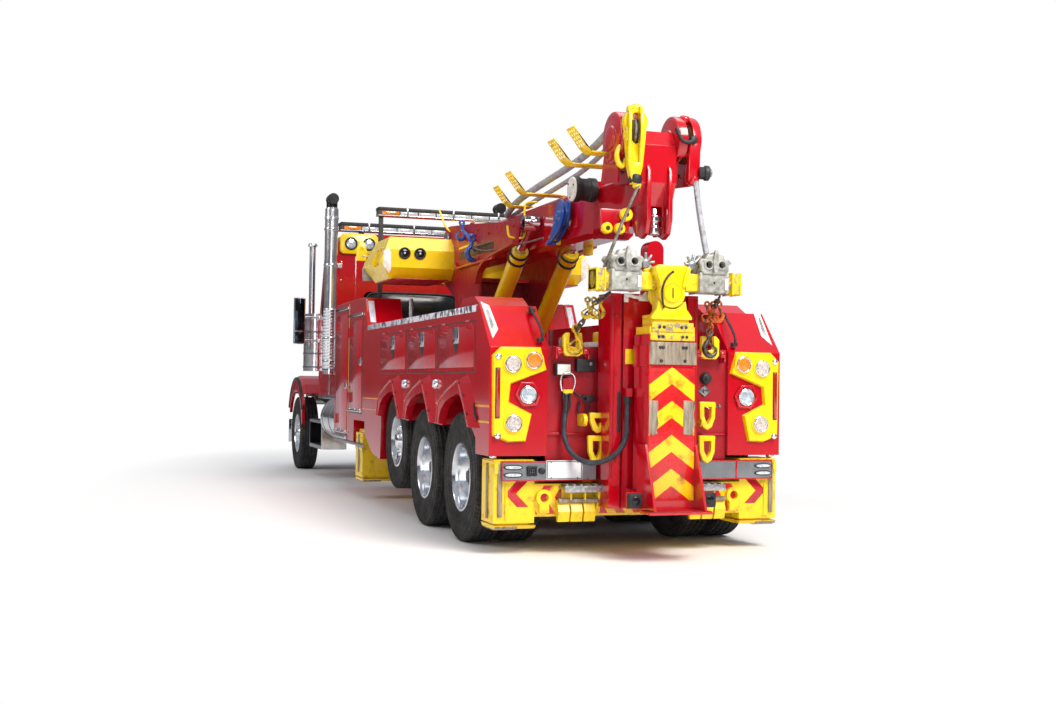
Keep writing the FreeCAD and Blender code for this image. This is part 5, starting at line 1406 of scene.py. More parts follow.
# ------------------------------------------------------------------ chains and ropes
@dataclass
class Rigging(Assembly):
    """Chains, hooks and taut wire ropes between the boom, the crossbar and the wall."""

    def link(self, size: float) -> Piece:
        """One chain link standing along z at the frame's origin.

        Args:
            size: about half the link's width.

        Returns:
            The link.
        """
        ring = []
        for number in range(12):
            angle = math.tau * number / 12
            long = math.copysign(size * 0.55, math.sin(angle)) if number % 6 else 0
            wide, high = size * 0.62 * math.cos(angle), size * 0.62 * math.sin(angle)
            ring.append((AXLE_STATION + wide, 0, high + long))
        return bent("link", ring, size * 0.26, closed=True)

    def chain(self, name: str, start: Point, end: Point, size: float, coat: Coat, body: str) -> None:
        """A taut chain.

        Args:
            name: the chain's name.
            start: its upper end.
            end: its lower end.
            size: about half a link's width and four times its wire's radius.
            coat: its finish.
            body: the body that carries it.
        """
        first, last = at(*start), at(*end)
        run = last - first
        count = max(2, round(run.length * 1000 / (size * 1.72)))
        model = self.link(size)
        links = []
        for number in range(count):
            turn = (Matrix.Translation(first + run * (number + 0.5) / count) @ run.to_track_quat("Z",
                "X").to_matrix().to_4x4() @ Matrix.Rotation(math.radians(90 * (number % 2) + 20), 4, "Z"))
            links.append(copied(model, name, turn=turn))
        bpy.data.objects.remove(model)
        self.dress(joined(name, links), coat, body)

    def hook(self, name: str, eye: Point, size: float, coat: Coat, body: str, side: int = 1) -> None:
        """A forged sling hook hanging from its eye, with a latch.

        Args:
            name: the piece's name.
            eye: the centre of its eye.
            size: its height.
            coat: its finish.
            body: the body that carries it.
            side: which way along y the point looks.
        """
        x, y, z = eye
        shape = [(0, -0.12), (0.02, -0.30), (0.16, -0.46), (0.22, -0.66), (0.10, -0.88), (-0.12, -0.95),
            (-0.30, -0.80), (-0.32, -0.60)]
        thick = [0.8, 0.9, 1.15, 1.35, 1.35, 1.15, 0.9, 0.45]
        rod = bent(name, [(x, y + side * a * size, z + b * size) for a, b in shape], size * 0.085,
            radii=thick)
        ring = bent(f"{name}_eye", [(x, y + math.cos(t) * size * 0.13, z + math.sin(t) * size * 0.13)
            for t in [math.tau * i / 10 for i in range(10)]], size * 0.06, closed=True)
        latch = plate(f"{name}_latch", "yz", [(y + side * a * size, z + b * size)
            for a, b in [(0.06, -0.34), (0.10, -0.40), (-0.27, -0.66), (-0.30, -0.60)]], x - size * 0.035,
            x + size * 0.035, 1.5)
        self.dress(joined(name, [rod, ring, latch]), coat, body)

    def build(self) -> None:
        """Makes the chains of both sides and the ropes to the crossbar."""
        body = "crossbar"
        for (tag, side), coat in zip(SIDES, (Coat.CHAIN_YELLOW, Coat.CHAIN_ORANGE)):
            y = side * 520
            self.chain(f"chain_upper_{tag}", (-1450, side * 470, 2060), (-1240, y, 1990), 30,
                Coat.CHAIN_STEEL, body)
            for number, shift in enumerate((-46, 0, 46)):
                self.hook(f"grab_hook_{tag}_{number}", (-1240 + shift * 0.4, y + shift, 2020), 150, coat,
                    body, side=1 if number % 2 else -1)
            self.chain(f"chain_lower_{tag}", (-1230, y + side * 10, 1960), (-1040, side * 585, 1790), 30,
                Coat.CHAIN_STEEL if side > 0 else Coat.CHAIN_ORANGE, body)
            self.hook(f"chain_hook_{tag}", (-1034, side * 590, 1800), 210, Coat.CHAIN_YELLOW
                if side > 0 else Coat.CHAIN_STEEL, body, side=-side)
        self.dress(bent("rope_left", [(-1398, 206, 2950), (-1420, 360, 2620), (-1450, 520, 2262)], 13,
            smooth=False), Coat.ROPE, "boom_extension")
        self.dress(bent("rope_right", [(-1350, -300, 2990), (-1380, -316, 2700), (-1450, -352, 2400)], 24),
            Coat.GUARD, "boom_extension")


# ------------------------------------------------------------------ boom
@dataclass
class BoomGear(Assembly):
    """The boom head's blocks and swivels, the brackets, rods, drums and hooks along it."""

    body: str = "boom_extension"
    sheave_x: float = -1150.0
    sheave_z: float = 3330.0

    def head(self) -> None:
        """Sheaves, their hoods, the guide plates with the chromed pin, and the rollers."""
        for tag, side in SIDES:
            y = side * 250
            self.dress(turned(f"sheave_band_{tag}", (self.sheave_x, y, self.sheave_z), OUT,
                [(150, -32), (172, -32), (172, -20), (152, -8), (152, 8), (172, 20), (172, 32), (150, 32)],
                steps=64), Coat.WOUND)
            self.hood(tag, y)
            for number, (x, z) in enumerate([(self.sheave_x, 3525), (-1020, 3080)]):
                self.dress(bar(f"guard_pin_{tag}_{number}", (x, y - 62, z), (x, y + 62, z), 15, edge=3),
                    Coat.STAINLESS)
        self.yellow_block()
        self.horn()
        for number, (y0, y1) in enumerate([(-112, -74), (74, 112)]):
            slot = plate(f"guide_plate_{number}", "xz", [(-1330, 3060), (-1290, 3130), (-1010, 3130),
                (-1040, 2720), (-1110, 2560), (-1200, 2524), (-1290, 2560), (-1330, 2680)], y0, y1, 8)
            hole = plate("cutter", "xz", [(-1240, 2860), (-1210, 2830), (-1160, 2830), (-1130, 2860),
                (-1130, 3000), (-1160, 3030), (-1210, 3030), (-1240, 3000)], y0 - 9, y1 + 9, 0)
            self.dress(pierced(slot, [hole]), Coat.RED)
        self.dress(turned("guide_pin", (-1210, 0, 2560), UP, [(0, 0), (48, 0), (52, 10), (52, 60), (44, 70),
            (44, 96), (56, 104), (56, 150), (36, 168), (30, 210), (0, 214)], steps=40, edge=2), Coat.CHROME)
        self.dress(bar("guide_cross", (-1210, -72, 2690), (-1210, 72, 2690), 17, edge=3), Coat.STAINLESS)
        for number, (y, z, radius) in enumerate([(262, 2704, 54), (424, 2590, 46), (316, 2590, 46)]):
            self.dress(turned(f"yellow_roller_{number}", (-1232, y, z), BACK, [(18, 0), (radius - 6, 0),
                (radius, 8), (radius, 36), (radius - 8, 48), (18, 48)]), Coat.YELLOW)
            self.dress(bar(f"roller_pin_{number}", (-1226, y, z), (-1286, y, z), 17, edge=2), Coat.CHASSIS)
        self.dress(block("roller_plate", (-1234, -1214), (220, 470), (2560, 2750), 12), Coat.RED)

    def hood(self, tag: str, y: float) -> None:
        """A curved hood over the back of a sheave, with the rope's slot in it.

        Args:
            tag: left or right.
            y: the sheave's offset.
        """
        centre = (self.sheave_x, self.sheave_z)
        outline = arc(*centre, 208, range(75, 226, 15)) + arc(*centre, 156, range(225, 74, -15))
        hood = plate(f"hood_{tag}", "xz", outline, y - 92, y + 92, 7)
        cut = block("cutter", (-1420, -1180), (y - 24, y + 24), (3215, 3520), 0)
        self.dress(pierced(hood, [cut]), Coat.RED)
        for number, edge in enumerate((-92, 92)):
            self.dress(turned(f"hood_side_{tag}_{number}", (self.sheave_x, y + edge, self.sheave_z),
                (0, math.copysign(1, edge), 0), [(0, -4), (204, -4), (204, 4), (168, 12), (96, 14),
                (92, 30), (60, 34), (0, 34)], steps=56, edge=2), Coat.RED)

    def swung(self, piece: Piece, coat: Coat) -> None:
        """Dresses a piece of the yellow block, turned a little to the left about its line.

        Args:
            piece: the piece.
            coat: its finish.
        """
        middle = at(-1375, 250, 0)
        piece.data.transform(Matrix.Translation(middle) @ Matrix.Rotation(math.radians(-14), 4, "Z")
            @ Matrix.Translation(-middle))
        self.dress(piece, coat)

    def yellow_block(self) -> None:
        """The tall yellow hook block: two cheeks, the roped sheave and a swivel below."""
        x, y, z = -1375.0, 250.0, self.sheave_z
        pear = [(-38, 218), (42, 218), (92, 146), (112, 40), (102, -50), (66, -150), (40, -262),
            (-40, -262), (-66, -150), (-102, -50), (-112, 40), (-92, 146)]
        for number, (low, high) in enumerate([(-58, -34), (34, 58)]):
            self.swung(plate(f"block_cheek_{number}", "xz", [(x + a, z + b) for a, b in pear], y + low,
                y + high, 7), Coat.YELLOW)
        self.swung(turned("block_sheave", (x, y, z + 20), OUT, [(0, -24), (96, -24), (96, -18), (80, -8),
            (80, 8), (96, 18), (96, 24), (0, 24)], steps=48), Coat.CAST_IRON)
        turns = [(ahead, y, up) for ahead, up in arc(x, z + 20, 90, range(30, 331, 20))]
        self.swung(bent("block_rope", turns, 13), Coat.ROPE)
        self.swung(turned("block_disc", (x, y + 58, z - 6), OUT, [(0, -4), (86, -4), (86, 8), (74, 16),
            (30, 17), (28, 30), (16, 32), (0, 32)], steps=48, edge=2), Coat.YELLOW)
        self.swung(block("block_crown", (x - 30, x + 30), (y - 52, y + 52), (3520, 3552), 10), Coat.YELLOW)
        self.swung(turned("block_eye", (x, y - 10, 3548), UP, [(0, 0), (30, 0), (26, 14), (12, 20),
            (0, 20)], steps=28, edge=2), Coat.YELLOW)
        self.swung(plate("block_chin", "yz", [(y - 56, 3100), (y + 56, 3100), (y + 40, 3020),
            (y + 30, 2990), (y - 38, 2990), (y - 44, 3020)], x - 46, x + 44, 12), Coat.YELLOW)
        self.dress(turned("block_swivel", (x - 4, y - 14, 2996), (0, 0.16, -1), [(0, -10), (48, -10),
            (54, 0), (54, 50), (46, 62), (0, 62)], steps=12, edge=4), Coat.RUBBER)
        self.dress(turned("block_foot", (x - 4, y - 26, 2936), (0, 0.16, -1), [(0, 0), (36, 0), (32, 30),
            (14, 44), (0, 46)], edge=2), Coat.YELLOW)
        hook = bent("block_side_hook", [(x + 60, y + 96, 3240), (x + 50, y + 128, 3190),
            (x + 44, y + 124, 3110), (x + 40, y + 88, 3066), (x + 40, y + 56, 3096),
            (x + 40, y + 62, 3140)], 18, radii=[0.9, 1.1, 1.25, 1.2, 0.9, 0.5])
        self.dress(hook, Coat.YELLOW)

    def horn(self) -> None:
        """The right hood's horn with its swivel, the hoses and the clamp."""
        shape = [(-1362, 3300), (-1352, 3120), (-1340, 2990), (-1290, 2972), (-1262, 3010), (-1280, 3140),
            (-1310, 3290)]
        self.dress(plate("horn", "xz", shape, -340, -236, 16), Coat.RED)
        self.dress(turned("horn_cap", (-1230, -250, 3506), (-0.4, 0, 1), [(0, -20), (46, -20), (46, 12),
            (32, 30), (0, 34)], edge=3), Coat.RED)
        self.dress(turned("horn_foot", (-1318, -290, 3004), (0, 0, -1), [(0, -20), (46, -20), (46, 20),
            (34, 44), (0, 46)], edge=4), Coat.RED)
        self.dress(turned("red_swivel", (-1330, -342, 3064), (-0.25, -1, 0), [(0, -10), (50, -10), (52, 34),
            (62, 38), (62, 70), (46, 82), (0, 82)], steps=14, edge=4), Coat.RUBBER)
        self.dress(turned("red_swivel_cap", (-1352, -420, 3064), (-0.25, -1, 0), [(0, 0), (34, 0), (28, 16),
            (0, 20)], edge=3), Coat.STAINLESS)
        self.dress(bent("red_hose", [(-1362, -120, 3400), (-1380, -140, 3330), (-1384, -190, 3290),
            (-1380, -250, 3300), (-1368, -270, 3330)], 16), Coat.RUBBER)
        self.dress(turned("red_clamp", (-1360, -268, 3320), BACK, [(0, 0), (36, 0), (36, 20), (22, 28),
            (0, 28)], steps=6, edge=3), Coat.RUBBER)
        self.dress(block("left_clamp", (-1262, -1236), (96, 128), (3290, 3370), 8), Coat.RUBBER)

    def tray(self, tag: str, x: float, z: float, y0: float, y1: float, body: str) -> None:
        """A perforated rope tray: a flat foot across the boom and a leaning paddle.

        Args:
            tag: its name.
            x: its middle along the truck.
            z: the height of its foot.
            y0: where the foot starts.
            y1: where the foot ends and the paddle begins.
            body: the body that carries it.
        """
        middle = [(y0, z), (y1, z), (y1 + 52, z + 42), (y1 + 168, z + 196)]
        outline = middle + [(a + 4, b + 11) for a, b in reversed(middle[:3])]
        outline[4:4] = [(y1 + 160, z + 204)]
        strip = plate(f"tray_{tag}", "yz", outline, x - 85, x + 85, 2)
        cutters = []
        for number in range(5):
            share = 0.14 + number * 0.18
            y, high = y1 + 52 + 116 * share, z + 42 + 154 * share
            for shift in (-48, 0, 48):
                cutters.append(bar("cutter", (x + shift, y + 34, high - 26), (x + shift, y - 34, high + 26),
                    14, edge=0, sides=10))
        self.dress(pierced(strip, cutters), Coat.YELLOW_WORN, body)

    def brackets(self) -> None:
        """Four rope trays on the boom and the bent rod under the front pair."""
        self.tray("a", -640, 3176, 150, 520, "boom_extension")
        self.tray("b", -990, 3220, 150, 480, "boom_extension")
        self.tray("c", 700, 3112, 90, 470, "boom")
        self.tray("d", 1640, 3122, 90, 300, "boom")
        rod = [(1200, 172, 3124), (1200, 292, 3124), (1200, 300, 3060), (1200, 300, 2800),
            (1200, 312, 2760), (1200, 440, 2764), (1200, 466, 2790), (1200, 474, 2880)]
        self.dress(bent("rope_rod", rod, 11), Coat.YELLOW, "boom")

    def snatch(self, x: float, y: float) -> None:
        """The blue snatch block hanging on the boom's flank, its long eye to the front.

        Args:
            x: station of its sheave.
            y: offset of the boom's flank.
        """
        body = "boom"
        crescent = [(-150, 140), (-96, 176), (-20, 160), (40, 92), (84, 0), (180, -110), (250, -190),
            (228, -216), (120, -176), (10, -132), (-90, -70), (-146, 30)]
        for number, (low, high) in enumerate([(24, 44), (84, 106)]):
            self.dress(plate(f"snatch_cheek_{number}", "xz", [(x + a, 2850 + b) for a, b in crescent],
                y + low, y + high, 8), Coat.BLUE, body)
        self.dress(turned("snatch_sheave", (x - 60, y + 46, 2890), OUT, [(0, 0), (104, 0), (88, 14),
            (88, 24), (104, 36), (0, 36)], steps=44), Coat.BLUE, body)
        self.dress(turned("snatch_hub", (x - 60, y + 104, 2890), OUT, [(0, -4), (60, -4), (60, 6), (30, 14),
            (26, 26), (0, 28)], steps=36, edge=2), Coat.BLUE, body)
        self.dress(bent("snatch_edge", [(x - 146, y + 100, 2890), (x - 96, y + 100, 3020),
            (x - 20, y + 100, 3006), (x + 44, y + 100, 2936), (x + 90, y + 100, 2844)], 10), Coat.BLUE,
            body)
        self.dress(bar("snatch_pin", (x + 216, y + 10, 2656), (x + 216, y + 124, 2656), 22, edge=4),
            Coat.BLUE, body)

    def side(self) -> None:
        """What the boom carries: reel, snatch block, clevis, hoses and bolts, and the rams' bands."""
        body = "boom"
        self.dress(turned("reel", (-330, 172, 3030), OUT, [(0, 0), (104, 0), (104, 60), (96, 64), (96, 140),
            (104, 144), (110, 152), (110, 200), (0, 200)], steps=56, edge=3), Coat.RUBBER, body)
        self.dress(turned("reel_cap", (-330, 372, 3030), OUT, [(0, 0), (106, 0), (106, 8), (96, 18),
            (0, 24)], steps=56, edge=2), Coat.WHITE, body)
        for number, (x, z) in enumerate(arc(-330, 3030, 76, (40, 160, 280))):
            self.dress(bolt(f"reel_bolt_{number}", (x, 392, z), OUT, 9, 5), Coat.CHASSIS, body)
        self.snatch(330, 172)
        self.dress(block("clevis_base", (500, 620), (-150, -90), (2560, 2640), 8), Coat.YELLOW, body)
        self.dress(bar("clevis_pin", (560, 168, 2700), (560, 262, 2700), 36, edge=5), Coat.YELLOW, body)
        self.dress(plate("clevis", "xz", [(500, 2640), (610, 2640), (640, 2710), (620, 2780), (520, 2780),
            (490, 2720)], 172, 214, 8), Coat.YELLOW, body)
        for number, share in enumerate((0.77, 0.81)):
            for side in (265, -265):
                self.dress(turned(f"ram_band_{number}_{side + 300}", (2950 - 1830 * share, side, 1500 + 1400
                    * share), (-0.794, 0, 0.608), [(86, 0), (97, 3), (97, 24), (86, 27)]), Coat.RUBBER,
                    "lift_barrels")
        self.dress(block("boom_label_pad", (90, 330), (170, 172), (2760, 2840), 1), Coat.RED, body)
        self.dress(bent("guard_hose", [(2300, 130, 3130), (1900, 200, 3190), (1044, 205, 3262),
            (32, 225, 3310), (-640, 240, 3390), (-1020, 250, 3500)], 34), Coat.GUARD)
        self.dress(bent("guard_hose_low", [(2200, 90, 3120), (1500, 130, 3160), (600, 150, 3200),
            (-300, 160, 3270), (-900, 190, 3400)], 24), Coat.GUARD)
        for number, x in enumerate((-250, 300, 900, 1500, 2100)):
            self.pair(bolt(f"boom_bolt_{number}_left", (x, 170, 2700), OUT, 18, 9), Coat.RED_DUSTY, body)

    def build(self) -> None:
        """Makes all groups in order."""
        self.head()
        self.brackets()
        self.side()


# ------------------------------------------------------------------ turret
@dataclass
class TurretGear(Assembly):
    """The winch cover's lamps and recess, the cheeks' drums, hooks and ropes."""

    body: str = "turret"
    rear: float = 3400.0
    cheek: float = 400.0

    def build(self) -> None:
        """Makes the pieces of the winch cover and of both cheeks, and two pairs of clevises."""
        for number, y in enumerate((800, 976)):
            self.pair(turned(f"cover_lamp_{number}_left", (self.rear, y, 2790), BACK, [(46, -4), (66, -4),
                (66, 16), (56, 24), (46, 18)], steps=44), Coat.RUBBER)
            self.pair(turned(f"cover_lens_{number}_left", (self.rear, y, 2790), BACK,
                [(0, -4), (48, -4), (48, 9), (30, 14), (0, 15)], steps=36), Coat.GLASS)
            self.pair(turned(f"cover_core_{number}_left", (self.rear - 14, y, 2790), BACK,
                [(0, 0), (14, 0), (12, 5), (0, 7)], steps=6), Coat.LED)
        self.pair(plate("cover_recess_left", "yz", [(1150, 2560), (1216, 2640), (1216, 2800), (1160, 2842),
            (1128, 2800), (1128, 2600)], self.rear - 3, self.rear, 1), Coat.WHITE)
        self.pair(block("cover_tray_left", (3420, 4300), (460, 1100), (2500, 2512), 4), Coat.RED_DUSTY)
        for tag, side in SIDES:
            y = side * self.cheek
            low, high = sorted((y, y + side * 4))
            self.dress(block(f"drum_window_{tag}", (1900, 3180), (low, high), (2716, 2800), 1), Coat.WOUND)
            self.dress(block(f"drum_bar_{tag}", (2640, 3200), (low, high + (side > 0) * 4), (2830, 2856),
                2), Coat.YELLOW)
            self.dress(block(f"cheek_tag_{tag}", (3440, 3590), (low, high), (2858, 2914), 1.5), Coat.WHITE)
            rail = [(1820, 2690), (1860, 2640), (3200, 2640), (3300, 2700), (3300, 2676), (3210, 2612),
                (1850, 2612), (1800, 2676)]
            self.dress(plate(f"drum_rail_{tag}", "xz", rail, min(y, y + side * 34), max(y, y + side * 34),
                5), Coat.RED)
            for number, (x, z) in enumerate([(1230, 2890), (1230, 2750), (2060, 2900), (2460, 2980),
                    (2420, 2680), (1900, 2720)]):
                self.dress(bolt(f"cheek_bolt_{tag}_{number}", (x, y, z), (0, side, 0), 20, 10),
                    Coat.RED_DUSTY)
            self.dress(turned(f"pivot_cap_{tag}", (3680, side * 412, 2990), (0, side, 0),
                [(0, 0), (84, 0), (84, 8), (70, 18), (24, 18), (20, 28), (0, 29)], edge=2), Coat.STAINLESS)
        hook = Rigging(body="turret")
        hook.hook("blue_hook", (2560, 436, 2900), 260, Coat.BLUE, "turret")
        hook.hook("blue_hook_high", (2980, 436, 3110), 200, Coat.BLUE, "turret", side=-1)
        self.dress(bent("blue_sling", [(2980, 440, 3020), (2860, 452, 3010), (2740, 452, 2960),
            (2600, 440, 2900)], 16), Coat.BLUE)
        self.dress(bent("hook_rope", [(2560, 440, 2800), (2200, 440, 2716), (1500, 400, 2700),
            (1000, 330, 2700), (640, 300, 2712)], 9), Coat.ROPE, "boom")
        self.dress(bent("hook_rope_high", [(2560, 440, 2810), (2100, 430, 2780), (1500, 330, 2860),
            (1031, 190, 2949)], 9), Coat.ROPE, "boom")
        self.dress(bent("cheek_rod", [(3590, 404, 3080), (3590, 440, 3110), (3700, 440, 3160),
            (3900, 440, 3330), (3960, 440, 3370)], 11), Coat.YELLOW)
        for number, (x, z) in enumerate([(2700, 3075), (3100, 3110)]):
            self.pair(block(f"cover_hinge_{number}_left", (x, x + 90), (370, 400), (z - 10, z + 14), 4),
                Coat.RED_DUSTY)
        # station, offset, height of the foot, offset of the arm's end, finish, body
        rows = [(4990, 1150, 2830, 930, Coat.YELLOW, "root"),
            (4380, 1190, 2540, 1080, Coat.CAST_GREY, "turret")]
        for number, (x, y, z, end, coat, body) in enumerate(rows):
            clevis = [(y - 60, z), (y + 60, z), (y + 68, z + 130), (y + 34, z + 230), (y - 34, z + 230),
                (y - 68, z + 130)]
            hole = bar("cutter", (x - 90, y, z + 140), (x + 60, y, z + 140), 24, edge=0)
            self.pair(pierced(plate(f"clevis_plate_{number}_left", "yz", clevis, x - 22, x, 6), [hole]),
                coat, body)
            self.pair(bar(f"clevis_arm_{number}_left", (x - 11, y, z + 60), (x + 29, end, z + 60), 20,
                edge=3), Coat.CAST_GREY, body)


# ------------------------------------------------------------------ side bodies
@dataclass
class BodySides(Assembly):
    """Trim, latches, marker lamps, lines and rails on both side bodies."""

    face: float = 1285.0
    rail: float = 1990.0
    # number, rear end and front end of each lift-up lid
    lids: tuple[tuple[int, float, float], ...] = ((1, 1910, 3150), (2, 700, 1850), (3, -560, 640))

    def trims(self) -> None:
        """The rails' scalloped strips, the slants' tape, the locker caps and the skirts."""
        self.pair(block("rail_tread_left", (-560, 3860), (1180, 1284), (self.rail, 1994), 1.5),
            Coat.SCALLOP)
        self.pair(block("rail_edge_left", (-560, 3866), (1284, 1289), (1938, 1990), 1), Coat.SCALLOP)
        self.pair(plate("slope_seat_left", "xz", [(3880, 1996), (4062, 2306), (4056, 2312), (3874, 2002)],
            1150, 1272, 1), Coat.RED)
        self.pair(plate("slope_strip_left", "xz", [(3896, 2030), (4044, 2282), (4036, 2286), (3888, 2034)],
            1180, 1246, 1), Coat.STRIP)
        for number, (low, high) in enumerate([(4112, 4940), (5000, 5850)]):
            self.pair(block(f"locker_cap_{number}_left", (low, high), (1120, 1280), (2320, 2326), 2),
                Coat.TREAD)
        self.pair(block("skirt_left", (3960, 5896), (1286, 1293), (604, 640), 2), Coat.STAINLESS)

    def doors(self) -> None:
        """Panels, latches, dark seals that also paint the shade in the gaps, and rails on the lift-up lids
        and the tall doors.
        """
        skin = self.face + 3
        for number, low, high in self.lids:
            body = f"lift_door_left_{number}"
            middle = (low + high) / 2
            self.pair(block(f"lid_panel_{number}_left", (low + 46, high - 46), (self.face, skin),
                (1484, 1826), 1.4), Coat.RED, body)
            # Dark strips round the lid: a seal, and painted shade in the lid's gap.
            self.pair(self.gasket(f"lid_gasket_{number}_left", low, high, 1438, 1872), Coat.CHASSIS, body)
            self.pair(plate(f"latch_plate_{number}_left", "xz", [(middle - 86, 1690), (middle + 86, 1690),
                (middle + 86, 1832), (middle - 86, 1832)], skin, skin + 5, 2), Coat.CHROME, body)
            self.pair(plate(f"latch_dish_{number}_left", "xz", [(middle - 20, 1600), (middle + 20, 1600),
                (middle + 84, 1688), (middle - 84, 1688)], skin, skin + 3, 1.4), Coat.RUBBER, body)
            self.pair(plate(f"latch_paddle_{number}_left", "xz", [(middle - 42, 1728), (middle + 42, 1728),
                (middle + 36, 1788), (middle - 36, 1788)], skin + 5, skin + 13, 3), Coat.STAINLESS, body)
            self.pair(bar(f"latch_key_{number}_left", (middle + 50, skin, 1758),
                (middle + 50, skin + 10, 1758), 7, edge=1), Coat.CHROME, body)
        for number, (low, high, base, top) in enumerate([(4110, 4940, 980, 2120), (5000, 5850, 700, 2230)]):
            body = f"tall_door_left_{2 - number}"
            self.pair(block(f"tall_panel_{number}_left", (low + 50, high - 50), (self.face, skin),
                (base + 50, top - 50), 1.4), Coat.RED, body)
            # Dark strips round the door: a seal, and painted shade in the door's gap.
            self.pair(self.gasket(f"tall_gasket_{number}_left", low, high, base, top), Coat.CHASSIS, body)
            self.pair(self.rest(f"door_rest_{number}_left", low, high, base + 34), Coat.CHROME, body)
            self.pair(block(f"tall_latch_{number}_left", (low + 70, low + 190), (skin, skin + 6),
                (base + 560, base + 650), 2), Coat.CHROME, body)
            self.pair(block(f"tall_paddle_{number}_left", (low + 90, low + 170), (skin + 6, skin + 14),
                (base + 574, base + 636), 3), Coat.STAINLESS, body)
        for number, (low, high, base) in enumerate([(4110, 4940, 2126), (4990, 5860, 2236)]):
            self.pair(block(f"tall_top_bar_{number}_left", (low, high), (1286, 1302), (base, base + 28), 4),
                Coat.CHROME)
        self.pair(block("tall_step_left", (5010, 5840), (1286, 1316), (646, 690), 5), Coat.TREAD)

    def gasket(self, name: str, low: float, high: float, base: float, top: float) -> Piece:
        """A dark seal around the edge of a door, drawn 9 to 12 mm wide so that its black also paints the
        shade in the door's gap.

        Args:
            name: its name.
            low: the door's rear end.
            high: its front end.
            base: its lower edge.
            top: its upper edge.

        Returns:
            The four strips as one piece.
        """
        strips = [block("strip", (low, high), (1284.5, 1286.5), (z, z + 9), 0.5) for z in (base, top - 9)]
        strips += [block("strip", (x, x + 12), (1284.5, 1286.5), (base + 9, top - 9), 0.5) for x in (low,
            high - 12)]
        return joined(name, strips)

    def rest(self, name: str, low: float, high: float, z: float) -> Piece:
        """A rail on studs along the foot of a tall door.

        Args:
            name: its name.
            low: the door's rear end.
            high: its front end.
            z: the rail's height.

        Returns:
            The rail and its studs as one piece.
        """
        parts = [block("rail", (low + 60, high - 60), (1312, 1322), (z - 16, z + 8), 3)]
        for share in (0.12, 0.5, 0.88):
            x = low + (high - low) * share
            parts.append(turned("stud", (x, 1284, z), OUT, [(0, 0), (26, 0), (22, 14), (12, 20), (12, 30),
                (0, 30)], steps=20))
        return joined(name, parts)

    def lines(self) -> None:
        """The thin gold lines and the small marker lamps along the sides."""
        for name, z, high in (("high", 1168, 6), ("low", 1042, 5)):
            for number, (low, high_x) in enumerate([(470, 800), (1760, 2060), (3090, 4080)]):
                self.pair(block(f"line_{name}_{number}_left", (low, high_x), (1285.5, 1287),
                    (z - high, z + high), 0.5), Coat.STRIPE)
        self.pair(block("line_locker_left", (4950, 4990), (1285.5, 1287), (720, 2300), 0.5), Coat.STRIPE)
        for number, (x, z) in enumerate([(1928, 1335), (687, 1340)]):
            self.pair(turned(f"side_marker_ring_{number}_left", (x, self.face, z), OUT,
                [(28, 0), (46, 0), (44, 18), (36, 32), (28, 24)], steps=32), Coat.CHROME)
            self.pair(turned(f"side_marker_lens_{number}_left", (x, self.face, z), OUT,
                [(0, 0), (30, 0), (30, 26), (18, 38), (0, 41)], steps=24), Coat.LENS_CLEAR)

    def over_arches(self, first: Piece, coat: Coat) -> None:
        """Dresses a piece on the rearmost arch and its copies on the other two.

        Args:
            first: the piece, whose name ends in 0_left.
            coat: its finish.
        """
        stem = first.name.removesuffix("0_left")
        for number, axle in enumerate((1290, 2570)):
            self.pair(copied(first, f"{stem}{number + 1}_left", shift=(axle, 0, 0)), coat)
        self.pair(first, coat)

    def flares(self) -> None:
        """Bolts along the three flares and the round rims on their crests."""
        spots = [(505, 1040), (455, 1170), (330, 1262), (190, 1302), (60, 1328), (-70, 1352), (-200, 1352),
            (-330, 1250), (-450, 1100)]
        heads = [turned("flare_bolt", (ahead, 1324, z), OUT, [(0, 0), (11, 0), (10, 4), (5, 6), (0, 6)],
            steps=12) for ahead, z in spots]
        self.over_arches(joined("flare_bolts_0_left", heads), Coat.CHASSIS)
        crest = [(535, 995), (490, 1142), (370, 1228), (145, 1300), (-70, 1352), (-150, 1374), (-192, 1346),
            (-526, 990)]
        rim = bent("flare_rim_0_left", [(ahead, 1325, z) for ahead, z in crest], 9, smooth=False)
        self.over_arches(rim, Coat.RED)

    def fittings(self) -> None:
        """Brackets, posts, panels, ribs and tie-down rings beside the deck and the arches."""
        self.pair(plate("arch_bracket_left", "xz", [(-640, 1040), (-580, 1080), (-540, 1180), (-565, 1190),
            (-610, 1110), (-660, 1066)], 1287, 1300, 4), Coat.RUBBER)
        self.pair(bar("deck_post_left", (3960, 760, 1222), (3960, 760, 2320), 24, edge=3), Coat.ZINC)
        self.pair(block("deck_panel_left", (3560, 3580), (560, 800), (1230, 1900), 4), Coat.STAINLESS)
        for number, z in enumerate((1300, 1500, 1700)):
            self.pair(block(f"wall_rib_{number}_left", (-590, 3850), (845, 858), (z, z + 26), 4),
                Coat.RED_DUSTY)
        for number, x in enumerate((120, 940, 1780)):
            self.pair(bent(f"deck_ring_{number}_left", [(x - 40, 700, 1222), (x - 40, 700, 1262),
                (x + 40, 700, 1262), (x + 40, 700, 1222)], 11, smooth=False), Coat.ZINC)

    def build(self) -> None:
        """Makes all groups in order."""
        self.trims()
        self.doors()
        self.lines()
        self.flares()
        self.fittings()


